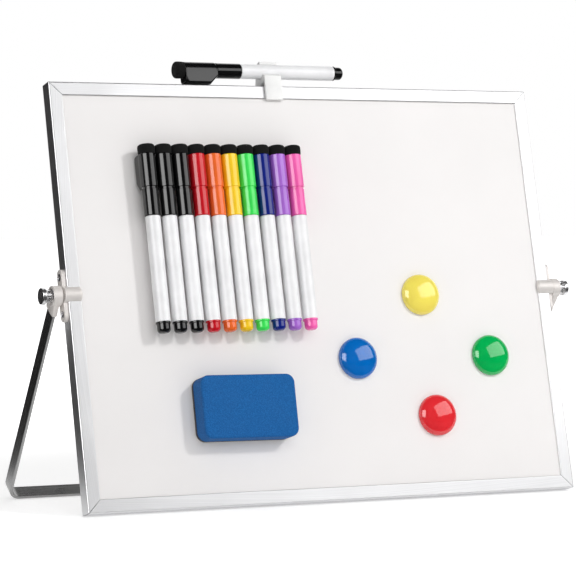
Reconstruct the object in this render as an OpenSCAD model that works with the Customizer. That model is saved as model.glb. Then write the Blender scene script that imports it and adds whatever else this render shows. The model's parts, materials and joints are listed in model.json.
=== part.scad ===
// Desk easel: a double-sided magnetic dry-wipe board in an aluminium frame,
// held at mid height in a folding steel stand, with its markers, magnets and eraser.
// Units are millimetres, +Z is up, the board faces -Y and the origin lies on the
// desk under the middle of the whole easel.

/* [Board] */
// Width of the framed board
board_w = 355.6; // [320:0.1:400]
// Height of the framed board
board_h = 279.4; // [255:0.1:320]
// Depth of the frame from its front face to its back face
frame_t = 11; // [9.5:0.1:14]
// Wall of the frame section
frame_wall = 1.2; // [1:0.1:1.6]
// Width of the chamber that takes the corner keys
key_chamber = 2.4; // [2:0.1:3.6]
// Rib between the key chamber and the panel groove
frame_rib = 1; // [0.8:0.1:1.6]
// Depth of the groove that holds the panel
panel_grip = 4.2; // [3:0.1:6]
// Rounding of the frame's long edges
frame_edge_r = 0.4; // [0.2:0.05:0.6]
// Gap at each mitred corner, measured along the frame
mitre_gap = 0.15; // [0.05:0.05:0.4]
// Space between the panel's edge and the bottom of its groove
panel_gap = 0.3; // [0.1:0.1:1]
// Thickness of each steel writing sheet
sheet_t = 0.4; // [0.3:0.05:0.8]
// Angle that the board leans back from upright
board_tilt = 13.8; // [8:0.1:18]
// Length of each arm of a corner key
key_l = 20; // [14:1:30]
// Space round a corner key in its chamber
key_gap = 0.1; // [0.05:0.05:0.3]

/* [Hinge] */
// Height of the hinge axis as a distance below the middle of the board
hinge_drop = 0; // [0:0.5:6]
// Length of the bracket's side plate
plate_l = 34; // [32:0.5:44]
// Width of the bracket's side plate, along the frame's depth
plate_w = 8; // [7.4:0.1:9]
// Thickness of the bracket's side plate
plate_t = 2.8; // [2:0.1:3.4]
// Height of the saddle that reaches round the frame
saddle_h = 10.8; // [8.4:0.1:11.4]
// Length of the saddle along the frame's face
saddle_reach = 9.6; // [6:0.1:10.4]
// How far the saddle stands proud of the frame's faces
saddle_proud = 2.6; // [1.6:0.1:3]
// Distance of each bracket screw from the hinge axis
screw_offset = 11.9; // [11:0.1:12.5]
// Diameter of the bracket screw's shank
screw_d = 2.6; // [2.2:0.1:3]
// Diameter of the bracket screw's head
screw_head_d = 4.8; // [4.2:0.1:5.4]
// Length of the bracket screw under its head
screw_l = 6; // [5:0.5:8]
// Diameter of the hub and of the toothed face
hub_d = 13.2; // [12.6:0.1:14]
// Wall of the hub between its toothed face and the strip
hub_wall_in = 1.8; // [1.4:0.1:3]
// Wall of the hub between the strip and the floor of the dish
hub_wall_out = 0.65; // [0.5:0.05:2]
// Number of teeth on each toothed face
tooth_count = 32; // [16:1:36]
// Height of the teeth
tooth_h = 0.4; // [0.3:0.05:0.6]
// Space between the facing tooth tips
tooth_gap = 0.2; // [0.15:0.05:0.4]
// Inner diameter of the toothed ring
tooth_inner_d = 7.4; // [6.8:0.1:8]
// Diameter of the clamp bolt
bolt_d = 4; // [3.4:0.1:4.6]
// Running clearance of the bolt in its bores, on the radius
running_gap = 0.05; // [0.02:0.01:0.1]
// Step from the side plate's face down to the toothed seat
seat_step = 0.2; // [0.1:0.05:0.6]
// Depth of the dish in the hub's outer face
dish_depth = 1.4; // [1.2:0.1:2]
// Diameter of the dish at its floor
dish_d = 9.2; // [9:0.1:9.8]
// Diameter of the lock washer
washer_d = 8.6; // [8:0.1:8.8]
// Thickness of the lock washer
washer_t = 0.8; // [0.6:0.1:1.2]
// Space between seated faces that turn on each other
seat_gap = 0.05; // [0.02:0.01:0.1]
// Diameter of the clamp knob's head
knob_head_d = 10.6; // [10:0.1:14]
// Length of the clamp knob's head
knob_head_l = 2.8; // [2.4:0.1:6]
// Diameter of the clamp knob's grooved neck
knob_neck_d = 8.4; // [7.8:0.1:8.8]
// Length of the clamp knob's grooved neck
knob_neck_l = 4.6; // [4:0.1:8]
// Number of grooves round the neck
neck_grooves = 10; // [6:1:14]
// Radius of the grooves round the neck
neck_groove_r = 0.84; // [0.5:0.02:1]
// Outer diameter of the brass thread insert
insert_d = 6; // [5.6:0.1:6.6]
// Length of the clamp bolt inside the board's side
bolt_reach = 3; // [2:0.1:3.4]

/* [Stand] */
// Width of the steel strip
strip_w = 10.5; // [9:0.1:12]
// Thickness of the steel strip
strip_t = 2; // [1.6:0.1:2.6]
// Outer radius of the strip's bends
bend_r = 8; // [5:0.5:14]
// Space between the crossbar and the pen clip as the stand swings past it
swing_gap = 1.1; // [0.8:0.1:6]
// Distance of the socket's mouth from the hinge axis
socket_l = 12; // [10:0.5:16]
// Wall of the socket round the strip
socket_wall = 0.9; // [0.7:0.1:1.3]
// Distance of the strip's end from the hinge axis
strip_start = 5; // [4:0.1:6]
// Diameter of the moulded pin that locks the strip in its socket
lock_pin_d = 3.2; // [2:0.1:4]
// How far the socket stands back from the hub's outer face where it leaves the hub
socket_step = 0.4; // [0.2:0.1:0.8]
// How far the socket keeps its full width below the hinge axis
socket_root = 5.4; // [4:0.1:6]

/* [Pen clip] */
// Place of the clip along the top of the frame, from the middle
clip_x = -18; // [-40:1:80]
// Width of the clip
clip_w = 12.5; // [9:0.5:16]
// Thickness of the clip's straps
clip_t = 2.1; // [1.6:0.1:2.4]
// Length of the front strap below the top of the frame
clip_front_l = 10.3; // [9:0.1:14]
// Length of the back strap below the top of the frame
clip_back_l = 9; // [7:0.1:14]
// Sliding gap between the clip and the frame
clip_gap = 0.2; // [0.1:0.05:0.4]
// Wall of the clip's ring
ring_wall = 2; // [1.4:0.1:2.2]
// Gap between the ring and the marker's barrel, on the radius
ring_gap = 0.15; // [0.1:0.05:0.3]
// Distance of the held marker's axis behind the frame's front face
clip_pen_back = 4; // [3:0.1:5]
// Place of the ring along the held marker, from its plug end
clip_grip_at = 55; // [20:0.5:60]
// Angle of the ring's lower lip in front of straight down
clip_lip = 58; // [45:1:70]
// Angle of the ring's upper lip in front of straight up
clip_top = 10; // [0:1:20]

/* [Markers] */
// Diameter of the barrel
barrel_d = 9.8; // [9.2:0.1:10.2]
// Length of the barrel that shows
barrel_l = 69; // [50:0.5:90]
// Wall of the barrel
barrel_wall = 1; // [0.8:0.1:1.2]
// Diameter of the cap's lower part
cap_low_d = 10.3; // [10:0.1:10.6]
// Length of the cap's lower part
cap_low_l = 19.2; // [14:0.1:22]
// Diameter of the cap's upper part
cap_top_d = 10.9; // [10.4:0.1:11.2]
// Length of the cap's upper part
cap_top_l = 21.2; // [19:0.1:24]
// Width of the groove between the cap's two parts
cap_groove_w = 0.8; // [0.4:0.1:1.2]
// Depth of the groove between the cap's two parts
cap_groove_depth = 0.35; // [0.2:0.05:0.5]
// Space between the cap and the marker's neck
cap_gap = 0.3; // [0.2:0.05:0.4]
// Space between the cap's rim and the barrel's shoulder
rim_gap = 0.1; // [0.05:0.05:0.3]
// Diameter of the marker's neck inside the cap
neck_d = 8; // [7.4:0.1:8.2]
// Length of the marker's neck
neck_l = 11.5; // [8:0.5:14]
// Length of the cone that carries the nib
nib_cone_l = 6; // [4:0.5:7]
// Diameter of the nib
nib_d = 4; // [3:0.1:4.4]
// Length of the nib past its cone
nib_l = 5.5; // [4:0.5:6]
// Wall of the cone at its end, round the nib
nib_cone_wall = 0.6; // [0.4:0.1:1]
// Room in the cap past the nib's tip
nib_room = 3; // [1:0.5:4]
// Thickness of the barrel's shoulder behind the neck
shoulder_t = 2; // [1.5:0.1:3]
// Chamfer on the rims of the barrel, the cap and the round magnets
rim_chamfer = 0.3; // [0.1:0.05:0.4]
// Length of the felt eraser on the cap
pad_l = 7; // [5:0.5:10]
// Diameter of the felt eraser on the cap
pad_d = 11.3; // [10.6:0.1:11.4]
// Rounding of the felt eraser's upper edge
pad_round = 1.6; // [0.5:0.1:3]
// Diameter of the felt eraser's stem
pad_stem_d = 5; // [4:0.1:6]
// Length of the felt eraser's stem
pad_stem_l = 5; // [3:0.5:6]
// Width of the magnet lug on the cap
lug_w = 10.6; // [8.6:0.1:10.8]
// Length of the magnet lug
lug_l = 23; // [18:0.5:25]
// Height of the magnet lug above the cap
lug_h = 4.8; // [4:0.1:6]
// Length of the bar magnet in the lug
lug_magnet_l = 15; // [10:0.5:17]
// Width of the bar magnet in the lug
lug_magnet_w = 6.4; // [4:0.1:7]
// Thickness of the bar magnet in the lug
lug_magnet_t = 2; // [1.5:0.1:3]
// Length of the end plug that shows
plug_l = 7.3; // [6:0.1:10]
// Diameter of the end plug below its flange
plug_d = 8.6; // [7.6:0.1:9]
// Rounding of the end plug's closed end
plug_round = 2.4; // [1:0.1:3.4]
// Thickness of the end plug's flange
plug_flange_t = 1.3; // [1:0.1:2]
// Length of the plug's spigot inside the barrel
spigot_l = 5; // [3:0.5:8]
// Diameter of the ink reservoir
reservoir_d = 7.2; // [6.4:0.1:7.4]
// Clearance between pieces pressed together, on the radius
press_gap = 0.05; // [0.02:0.01:0.1]
// Space between the board and a piece that its magnet holds there
stick_gap = 0.2; // [0.15:0.05:0.4]

/* [Places on the board] */
// Distance of the first marker's axis from the board's left edge
row_left = 59.4; // [40:0.1:90]
// Distance of the markers' felt ends from the board's top edge
row_top = 44.2; // [20:0.1:90]
// Distance from one marker's axis to the next
row_pitch = 11.66; // [11.6:0.02:13]
// Distance of the eraser's middle from the board's left edge
eraser_left = 112.2; // [60:0.1:140]
// Distance of the eraser's middle from the board's bottom edge
eraser_bottom = 62.1; // [45:0.1:75]
// Turn of the eraser on the board
eraser_turn = -0.6; // [-10:0.1:10]

/* [Magnets] */
// Diameter of the round magnets
magnet_d = 27.6; // [22:0.2:32]
// Height of the round magnets
magnet_h = 7.6; // [6.4:0.1:10]
// Height of the round magnets' straight rim
magnet_rim = 1.2; // [0.8:0.1:2]
// Diameter of the ferrite disc inside
ferrite_d = 19; // [14:0.5:20]
// Thickness of the ferrite disc
ferrite_t = 3; // [2:0.1:3.6]

/* [Eraser] */
// Length of the eraser
eraser_l = 66.5; // [50:0.5:90]
// Height of the eraser
eraser_h = 41; // [30:0.5:55]
// Rounding of the eraser's corners
eraser_r = 5.8; // [3:0.1:10]
// Thickness of the foam
foam_t = 13.2; // [9:0.1:20]
// Thickness of the felt
felt_t = 2.8; // [2:0.1:5]
// Length of the bar magnet inside
eraser_magnet_l = 40; // [25:0.5:45]
// Height of the bar magnet inside
eraser_magnet_h = 12; // [8:0.5:16]
// Thickness of the bar magnet inside
eraser_magnet_t = 2.4; // [1.5:0.1:3]

/* [Hidden] */

// Colours of the pieces
alloy = [0.88, 0.88, 0.89];
enamel = [0.96, 0.95, 0.95];
board_brown = [0.80, 0.72, 0.58];
key_grey = [0.55, 0.56, 0.58];
warm_grey = [0.78, 0.76, 0.74];
zinc = [0.75, 0.75, 0.77];
brass = [0.80, 0.66, 0.35];
chrome = [0.82, 0.82, 0.84];
dark_steel = [0.45, 0.45, 0.47];
strip_steel = [0.42, 0.42, 0.42];
white = [0.94, 0.94, 0.95];
black = [0.06, 0.06, 0.06];
ferrite = [0.25, 0.25, 0.27];
foam_blue = [0.11, 0.38, 0.66];
felt_black = [0.08, 0.09, 0.10];

// Markers on the board from left to right: name and colour
ROW = [
    ["marker_black_1", black],
    ["marker_black_2", black],
    ["marker_black_3", black],
    ["marker_red", [0.78, 0.06, 0.12]],
    ["marker_orange", [0.94, 0.44, 0.19]],
    ["marker_yellow", [0.97, 0.78, 0.16]],
    ["marker_green", [0.25, 0.88, 0.38]],
    ["marker_blue", [0.04, 0.13, 0.50]],
    ["marker_purple", [0.69, 0.44, 0.83]],
    ["marker_pink", [0.97, 0.41, 0.69]]
];
// The marker that the clip holds
HELD = ["clip_marker", black];
// Round magnets: name, place right of and above the board's middle, colour
MAGNETS = [
    ["magnet_yellow", [76, -4.2], [0.98, 0.82, 0.35]],
    ["magnet_blue", [23.2, -46.3], [0.05, 0.36, 0.72]],
    ["magnet_green", [124.6, -46.8], [0.04, 0.66, 0.31]],
    ["magnet_red", [78.3, -86.3], [0.86, 0.15, 0.19]]
];

PARTS = ["_barrel", "_core", "_cap"];

// Frame and panel
frame_face = frame_wall + key_chamber + frame_rib + panel_grip;
groove_t = frame_t - 2 * frame_wall;
panel_inset = frame_face - panel_grip + panel_gap;
panel_w = board_w - 2 * panel_inset;
panel_h = board_h - 2 * panel_inset;
core_t = groove_t - 2 * sheet_t;
key_centre = frame_wall + key_chamber / 2;
key_w = key_chamber - 2 * key_gap;
key_t = groove_t - 2 * key_gap;

// Hinge, measured outward from the board's side
tooth_root = plate_t - seat_step;
tooth_tip = tooth_root + tooth_h;
hub_tip = tooth_tip + tooth_gap;
hub_root = hub_tip + tooth_h;
strip_offset = hub_root + hub_wall_in;
dish_floor = strip_offset + strip_t + press_gap + hub_wall_out;
hub_end = dish_floor + dish_depth;
washer_in = dish_floor + seat_gap;
washer_out = washer_in + washer_t;
neck_in = washer_out + seat_gap;
neck_out = neck_in + knob_neck_l;
knob_end = neck_out + knob_head_l;
bore_r = bolt_d / 2 + running_gap;
hinge_v = board_h / 2 - hinge_drop;
lock_pin_z = (strip_start + socket_l) / 2 + press_gap;
screw_sink = (screw_head_d - screw_d) / 2;

// Marker, measured from its plug end
shoulder_z = plug_l + barrel_l;
rim_z = shoulder_z + rim_gap;
groove_z = rim_z + cap_low_l;
cap_end_z = groove_z + cap_top_l;
pad_end_z = cap_end_z + pad_l;
neck_end_z = shoulder_z + neck_l;
cone_end_z = neck_end_z + nib_cone_l;
nib_end_z = cone_end_z + nib_l;
cavity_r = neck_d / 2 + cap_gap;
cavity_end_z = nib_end_z + nib_room;
neck_floor_z = shoulder_z - shoulder_t;
lug_face = cap_top_d / 2 + lug_h;
lug_low_z = cap_end_z - lug_l;
bore_inner_r = barrel_d / 2 - barrel_wall;

// Places of the markers: the sheet's face is frame_wall behind the frame's face
row_axis_y = frame_wall - stick_gap - lug_face;
row_z = board_h - row_top - pad_end_z;
clip_axis_v = board_h + stick_gap + lug_face;
ring_in = barrel_d / 2 + ring_gap;
ring_out = ring_in + ring_wall;

// Stand: long enough for its crossbar to pass the clip, then leaned to reach the desk
clip_reach = norm([clip_pen_back - frame_t / 2, clip_axis_v - hinge_v]) + ring_out;
stand_in = clip_reach + swing_gap;
stand_out = stand_in + strip_t;
lift = (frame_t - frame_edge_r) * sin(board_tilt) + frame_edge_r * (1 - cos(board_tilt));
hinge_y = frame_t / 2 * cos(board_tilt) + hinge_v * sin(board_tilt);
hinge_z = lift - frame_t / 2 * sin(board_tilt) + hinge_v * cos(board_tilt);
stand_lean = acos(hinge_z / norm([stand_out, strip_w / 2])) + atan2(strip_w / 2, stand_out);
strip_in_x = board_w / 2 + strip_offset;
strip_out_x = strip_in_x + strip_t;

// Middle of the footprint: the eraser is foremost and the stand's foot rearmost
eraser_front = frame_wall - stick_gap - felt_t - foam_t;
eraser_low = eraser_bottom - eraser_r
    - (eraser_l / 2 - eraser_r) * abs(sin(eraser_turn))
    - (eraser_h / 2 - eraser_r) * cos(eraser_turn);
front_y = eraser_low * sin(board_tilt) + eraser_front * cos(board_tilt);
back_y = hinge_y + stand_out * sin(stand_lean) + strip_w / 2 * cos(stand_lean);
middle_y = (front_y + back_y) / 2;

// Chamfer on the turned and moulded edges of the hinge
edge_r = 0.5;
// How far a cutter reaches past the face that it opens
cut = 1;
// Overlap of solids that are joined face to face
join = 0.01;

$fn = 64;

// Rounded rectangle from the origin, with true arcs at its corners
module rounded_rect(size, r) {
    translate([r, 0]) square([size[0] - 2 * r, size[1]]);
    translate([0, r]) square([size[0], size[1] - 2 * r]);
    for (x = [r, size[0] - r]) for (y = [r, size[1] - r]) translate([x, y]) circle(r);
}

// Slot shape: a bar of the given length and width with round ends, upright on its middle
module slot_shape(l, w) {
    translate([-w / 2, -(l - w) / 2]) square([w, l - w]);
    for (s = [-1, 1]) translate([0, s * (l - w) / 2]) circle(w / 2);
}

// The board stands upright in its own frame: x right, y back from the front face, z up
module on_desk() {
    translate([0, -middle_y, lift]) rotate([-board_tilt, 0, 0]) children();
}

// The stand's own frame: origin on the hinge axis, legs down along -z
module in_stand() {
    translate([0, hinge_y - middle_y, hinge_z]) rotate([stand_lean, 0, 0]) children();
}

// Left side as it is drawn, or its mirror image for the right side
module on_side(side) {
    if (side < 0) children();
    else mirror([1, 0, 0]) children();
}

// z turned outward from the board's left side, about the hinge axis of the upright board
module at_hinge() {
    translate([-board_w / 2, frame_t / 2, hinge_v]) rotate([0, -90, 0]) children();
}

// z turned outward along the hinge axis, in the stand's frame
module at_pivot() {
    translate([-board_w / 2, 0, 0]) rotate([0, -90, 0]) children();
}

// ---- Board ----

// Section of the frame: first axis through its depth, second from its outer edge inward
module frame_section() {
    difference() {
        rounded_rect([frame_t, frame_face], frame_edge_r);
        translate([frame_wall, frame_wall]) square([groove_t, key_chamber]);
        translate([frame_wall, frame_face - panel_grip]) square([groove_t, panel_grip + cut]);
    }
}

// One mitred frame member lying along x with its outer edge down at z = 0
module frame_member(l) {
    end = l / 2 - mitre_gap;
    intersection() {
        translate([-l / 2, 0, 0]) rotate([90, 0, 90]) linear_extrude(l) frame_section();
        translate([0, frame_t + cut, 0]) rotate([90, 0, 0]) linear_extrude(frame_t + 2 * cut)
            polygon([[-end, 0], [end, 0], [end - frame_face, frame_face], [frame_face - end, frame_face]]);
    }
}

module frame_top() {
    color(alloy) on_desk()
        translate([0, 0, board_h]) mirror([0, 0, 1]) frame_member(board_w);
}

module frame_bottom() {
    color(alloy) on_desk() frame_member(board_w);
}

// Side member with its holes for the thread insert and the bracket screws
module frame_side(side) {
    color(alloy) on_desk() on_side(side) difference() {
        translate([-board_w / 2, 0, board_h / 2]) rotate([0, 90, 0]) frame_member(board_h);
        at_hinge() translate([0, 0, -frame_wall - cut])
            cylinder(h = frame_wall + 2 * cut, r = insert_d / 2 + press_gap);
        for (s = [-1, 1]) at_hinge() translate([s * screw_offset, 0, -frame_wall - cut])
            cylinder(h = frame_wall + 2 * cut, r = screw_d / 2 + press_gap);
    }
}

module writing_sheet(y) {
    color(enamel) on_desk()
        translate([-panel_w / 2, y, panel_inset]) cube([panel_w, sheet_t, panel_h]);
}

module core_panel() {
    color(board_brown) on_desk()
        translate([-panel_w / 2, frame_wall + sheet_t, panel_inset]) cube([panel_w, core_t, panel_h]);
}

// Flat angle pieces, one in each corner of the frame's key chamber
module corner_keys() {
    key_start = key_centre - key_w / 2;
    color(key_grey) on_desk()
        for (sx = [0, 1]) for (sz = [0, 1])
            translate([0, 0, sz * board_h]) mirror([0, 0, sz]) mirror([sx, 0, 0])
                translate([key_start - board_w / 2, frame_wall + key_gap, key_start]) {
                    cube([key_l, key_t, key_w]);
                    cube([key_w, key_t, key_l]);
                }
}

// ---- Hinge ----

// Ring of radial teeth rising along +z from z = 0
module teeth() {
    half_root = PI * tooth_inner_d / tooth_count / 2;
    half_tip = half_root / 3;
    sunk = tooth_h / 2;
    for (i = [0:tooth_count - 1]) rotate([0, 0, i * 360 / tooth_count])
        translate([tooth_inner_d / 2, 0, 0]) rotate([90, 0, 90])
            linear_extrude((hub_d - tooth_inner_d) / 2 - edge_r)
                polygon([[-half_root, -sunk], [half_root, -sunk], [half_tip, tooth_h], [-half_tip, tooth_h]]);
}

// Plate on the frame's side, saddle round its faces and the toothed seat of the hub
module hinge_bracket(side) {
    color(warm_grey) on_desk() on_side(side) difference() {
        union() {
            at_hinge() linear_extrude(plate_t) rotate([0, 0, 90]) slot_shape(plate_l, plate_w);
            at_hinge() cylinder(h = tooth_root, d = hub_d);
            at_hinge() translate([0, 0, tooth_root]) teeth();
            at_hinge() translate([0, 0, -saddle_reach]) linear_extrude(saddle_reach + tooth_root)
                slot_shape(frame_t + 2 * saddle_proud, saddle_h);
        }
        translate([-board_w / 2, 0, 0]) cube([saddle_reach + cut, frame_t, board_h]);
        at_hinge() translate([0, 0, -cut]) cylinder(h = plate_t + 2 * cut, r = insert_d / 2 + press_gap);
        for (s = [-1, 1]) at_hinge() translate([s * screw_offset, 0, 0]) {
            translate([0, 0, -cut]) cylinder(h = plate_t + 2 * cut, r = screw_d / 2 + press_gap);
            translate([0, 0, plate_t - screw_sink]) cylinder(
                h = screw_sink + join, r1 = screw_d / 2 + press_gap, r2 = screw_head_d / 2 + press_gap);
        }
    }
}

// Countersunk screws with a cross recess, two through each bracket into the frame
module bracket_screws() {
    slot = [screw_d, screw_head_d / 6, screw_sink];
    color(zinc) on_desk() for (side = [-1, 1]) on_side(side) for (s = [-1, 1])
        at_hinge() translate([s * screw_offset, 0, plate_t - screw_sink]) difference() {
            union() {
                cylinder(h = screw_sink, d1 = screw_d, d2 = screw_head_d);
                translate([0, 0, screw_sink - screw_l])
                    cylinder(h = screw_l - screw_sink + join, d = screw_d);
            }
            for (a = [45, 135]) rotate([0, 0, a])
                translate([-slot[0] / 2, -slot[1] / 2, screw_sink / 2]) cube(slot);
        }
}

// Brass bushes, threaded on the real object, set into the frame's sides and the brackets
module thread_inserts() {
    color(brass) on_desk() for (side = [-1, 1]) on_side(side)
        at_hinge() translate([0, 0, -frame_wall - key_chamber / 2]) difference() {
            cylinder(h = frame_wall + key_chamber / 2 + tooth_root, d = insert_d);
            translate([0, 0, -cut]) cylinder(h = frame_t, r = bore_r);
        }
}

// Hub moulded on the end of the strip: toothed face, dished outer face and tapered socket
module leg_hub(side) {
    socket_in = strip_offset - socket_wall;
    socket_out = hub_end - socket_step;
    mouth_out = strip_offset + strip_t + socket_wall;
    half_w = strip_w / 2 + socket_wall;
    pocket = strip_t + 2 * press_gap;
    color(warm_grey) in_stand() on_side(side) difference() {
        union() {
            at_pivot() translate([0, 0, hub_root]) cylinder(h = hub_end - hub_root - edge_r, d = hub_d);
            at_pivot() translate([0, 0, hub_end - edge_r])
                cylinder(h = edge_r, d1 = hub_d, d2 = hub_d - 2 * edge_r);
            at_pivot() translate([0, 0, hub_root]) mirror([0, 0, 1]) teeth();
            translate([-board_w / 2, half_w, 0]) rotate([90, 0, 0]) linear_extrude(2 * half_w)
                polygon([
                    [-socket_in, 0],
                    [-socket_out, 0],
                    [-socket_out, -socket_root],
                    [-mouth_out, -socket_l],
                    [-socket_in, -socket_l]
                ]);
        }
        at_pivot() translate([0, 0, hub_tip - cut]) cylinder(h = hub_end - hub_tip + 2 * cut, r = bore_r);
        at_pivot() translate([0, 0, dish_floor])
            cylinder(h = dish_depth + join, d1 = dish_d, d2 = dish_d + dish_depth);
        difference() {
            translate([-strip_out_x - press_gap, -strip_w / 2 - press_gap, -socket_l - cut])
                cube([pocket, strip_w + 2 * press_gap, socket_l + cut - strip_start + press_gap]);
            translate([0, 0, -lock_pin_z]) at_pivot() cylinder(h = hub_end, d = lock_pin_d);
        }
    }
}

// Bolt, grooved neck and flat head in one turned piece, with z outward from the board's side
module clamp_knob(side) {
    head_r = knob_head_d / 2;
    color(chrome) on_desk() on_side(side) at_hinge() difference() {
        union() {
            translate([0, 0, -bolt_reach]) cylinder(h = bolt_reach + neck_in + cut, d = bolt_d);
            translate([0, 0, neck_in]) cylinder(h = knob_neck_l + edge_r, d = knob_neck_d);
            rotate_extrude() polygon([
                [0, neck_out],
                [head_r - edge_r, neck_out],
                [head_r, neck_out + edge_r],
                [head_r, knob_end - edge_r],
                [head_r - edge_r, knob_end],
                [0, knob_end]
            ]);
        }
        for (i = [0:neck_grooves - 1]) rotate([0, 0, i * 360 / neck_grooves])
            translate([knob_neck_d / 2, 0, neck_in - cut])
                cylinder(h = knob_neck_l + cut - edge_r, r = neck_groove_r, $fn = 24);
    }
}

// Lock washer with notches round its rim, seated in the hub's dish
module lock_washer(side) {
    notches = neck_grooves + 2;
    color(dark_steel) on_desk() on_side(side) at_hinge() translate([0, 0, washer_in]) difference() {
        cylinder(h = washer_t, d = washer_d);
        translate([0, 0, -cut]) cylinder(h = washer_t + 2 * cut, r = bore_r);
        for (i = [0:notches - 1]) rotate([0, 0, i * 360 / notches])
            translate([washer_d / 2, 0, -cut]) cylinder(h = washer_t + 2 * cut, d = washer_t, $fn = 24);
    }
}

// ---- Stand ----

// Quarter bend of the strip in the x-z plane, from the leg into the crossbar
module strip_bend() {
    intersection() {
        difference() {
            circle(bend_r);
            circle(bend_r - strip_t);
        }
        translate([-bend_r, -bend_r]) square(bend_r);
    }
}

// One length of flat strip bent into a U: two legs and the crossbar that is the foot
module stand_leg() {
    leg_l = stand_out - bend_r - strip_start;
    color(strip_steel) in_stand() difference() {
        translate([0, strip_w / 2, 0]) rotate([90, 0, 0]) linear_extrude(strip_w) {
            for (s = [0, 1]) mirror([s, 0]) {
                translate([-strip_out_x, -strip_start - leg_l]) square([strip_t, leg_l]);
                translate([-strip_out_x + bend_r, -stand_out + bend_r]) strip_bend();
            }
            translate([-strip_out_x + bend_r, -stand_out]) square([2 * (strip_out_x - bend_r), strip_t]);
        }
        translate([-board_w, 0, -lock_pin_z]) rotate([0, 90, 0])
            cylinder(h = 2 * board_w, r = lock_pin_d / 2 + press_gap);
    }
}

// ---- Pen clip ----

// Side view of the clip: first axis back, second up. Its brace slopes from under the ring
// down to the back edge of the frame and leaves a three-cornered gap above the frame.
module clip_shape() {
    low = board_h + clip_gap;
    front = -clip_gap - clip_t;
    back = frame_t + clip_gap + clip_t;
    front_top = clip_axis_v - ring_in * cos(clip_lip);
    brace_high = clip_axis_v - ring_out;
    difference() {
        union() {
            translate([front, board_h - clip_front_l]) square([clip_t, front_top - board_h + clip_front_l]);
            translate([back - clip_t, board_h - clip_back_l]) square([clip_t, clip_back_l + clip_gap + join]);
            polygon([
                [front, brace_high],
                [back - clip_t, low],
                [back, low],
                [back, low + clip_t],
                [front, brace_high + clip_t]
            ]);
            translate([clip_pen_back, clip_axis_v]) circle(ring_out);
        }
        translate([clip_pen_back, clip_axis_v]) circle(ring_in);
        translate([clip_pen_back, clip_axis_v]) polygon([
            [0, 0],
            2 * ring_out * [-sin(clip_lip), -cos(clip_lip)],
            2 * ring_out * [-cos(clip_top), sin(clip_top)],
            2 * ring_out * [-sin(clip_top), cos(clip_top)]
        ]);
    }
}

module pen_clip() {
    color(white) on_desk()
        translate([clip_x - clip_w / 2, 0, 0]) rotate([90, 0, 90]) linear_extrude(clip_w) clip_shape();
}

// ---- Markers, plug end at the origin, cap end up, lug towards +y ----

// White barrel with its neck and the cone that carries the nib
module marker_barrel() {
    r = barrel_d / 2;
    nib_bore = nib_d / 2 + press_gap;
    color(white) rotate_extrude() polygon([
        [bore_inner_r, plug_l],
        [r, plug_l],
        [r, shoulder_z - rim_chamfer],
        [r - rim_chamfer, shoulder_z],
        [neck_d / 2, shoulder_z],
        [neck_d / 2, neck_end_z],
        [nib_d / 2 + nib_cone_wall, cone_end_z],
        [nib_bore, cone_end_z],
        [nib_bore, neck_floor_z],
        [bore_inner_r, neck_floor_z]
    ]);
}

// End plug, ink reservoir and nib, three separate solids on one axis
module marker_core(tint) {
    r = plug_d / 2;
    steps = 8;
    nib_tip = nib_d / 4;
    color(tint) {
        rotate_extrude() polygon(concat(
            [[0, plug_l + spigot_l], [0, 0]],
            [for (i = [0:steps]) [
                r - plug_round + plug_round * sin(i * 90 / steps),
                plug_round - plug_round * cos(i * 90 / steps)
            ]],
            [
                [r, plug_l - plug_flange_t],
                [barrel_d / 2, plug_l - plug_flange_t],
                [barrel_d / 2, plug_l],
                [bore_inner_r - press_gap, plug_l],
                [bore_inner_r - press_gap, plug_l + spigot_l]
            ]
        ));
        translate([0, 0, plug_l + spigot_l + press_gap])
            cylinder(h = neck_floor_z - plug_l - spigot_l - 2 * press_gap, d = reservoir_d);
        translate([0, 0, neck_floor_z]) cylinder(h = nib_end_z - neck_floor_z - nib_tip, d = nib_d);
        translate([0, 0, nib_end_z - nib_tip]) cylinder(h = nib_tip, d1 = nib_d, d2 = nib_d / 2);
    }
}

// Cap with its magnet lug, then the bar magnet and the felt eraser as solids of their own
module marker_cap(tint) {
    low_r = cap_low_d / 2;
    top_r = cap_top_d / 2;
    slant = lug_face - low_r;
    magnet_z = (lug_low_z + slant + cap_end_z - lug_magnet_l) / 2;
    color(tint) difference() {
        union() {
            rotate_extrude() polygon([
                [0, rim_z],
                [low_r - rim_chamfer, rim_z],
                [low_r, rim_z + rim_chamfer],
                [low_r, groove_z - cap_groove_w],
                [low_r - cap_groove_depth, groove_z - cap_groove_w],
                [low_r - cap_groove_depth, groove_z],
                [top_r, groove_z],
                [top_r, cap_end_z],
                [0, cap_end_z]
            ]);
            translate([-lug_w / 2, 0, 0]) rotate([90, 0, 90]) linear_extrude(lug_w) polygon([
                [0, lug_low_z],
                [low_r - edge_r, lug_low_z],
                [lug_face, lug_low_z + slant],
                [lug_face, cap_end_z],
                [0, cap_end_z]
            ]);
        }
        translate([0, 0, rim_z - cut]) cylinder(h = cavity_end_z - rim_z + cut, r = cavity_r);
        translate([0, 0, cap_end_z - pad_stem_l - press_gap])
            cylinder(h = pad_stem_l + cut, r = pad_stem_d / 2 + press_gap);
        translate([-lug_magnet_w / 2, lug_face - lug_magnet_t, magnet_z] - press_gap * [1, 1, 1])
            cube([lug_magnet_w + 2 * press_gap, lug_magnet_t + cut, lug_magnet_l + 2 * press_gap]);
    }
    color(ferrite) translate([-lug_magnet_w / 2, lug_face - lug_magnet_t, magnet_z])
        cube([lug_magnet_w, lug_magnet_t - press_gap, lug_magnet_l]);
    color(felt_black) {
        translate([0, 0, cap_end_z - pad_stem_l]) cylinder(h = pad_stem_l + edge_r, d = pad_stem_d);
        translate([0, 0, cap_end_z + press_gap / 2]) felt_pad();
    }
}

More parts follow.
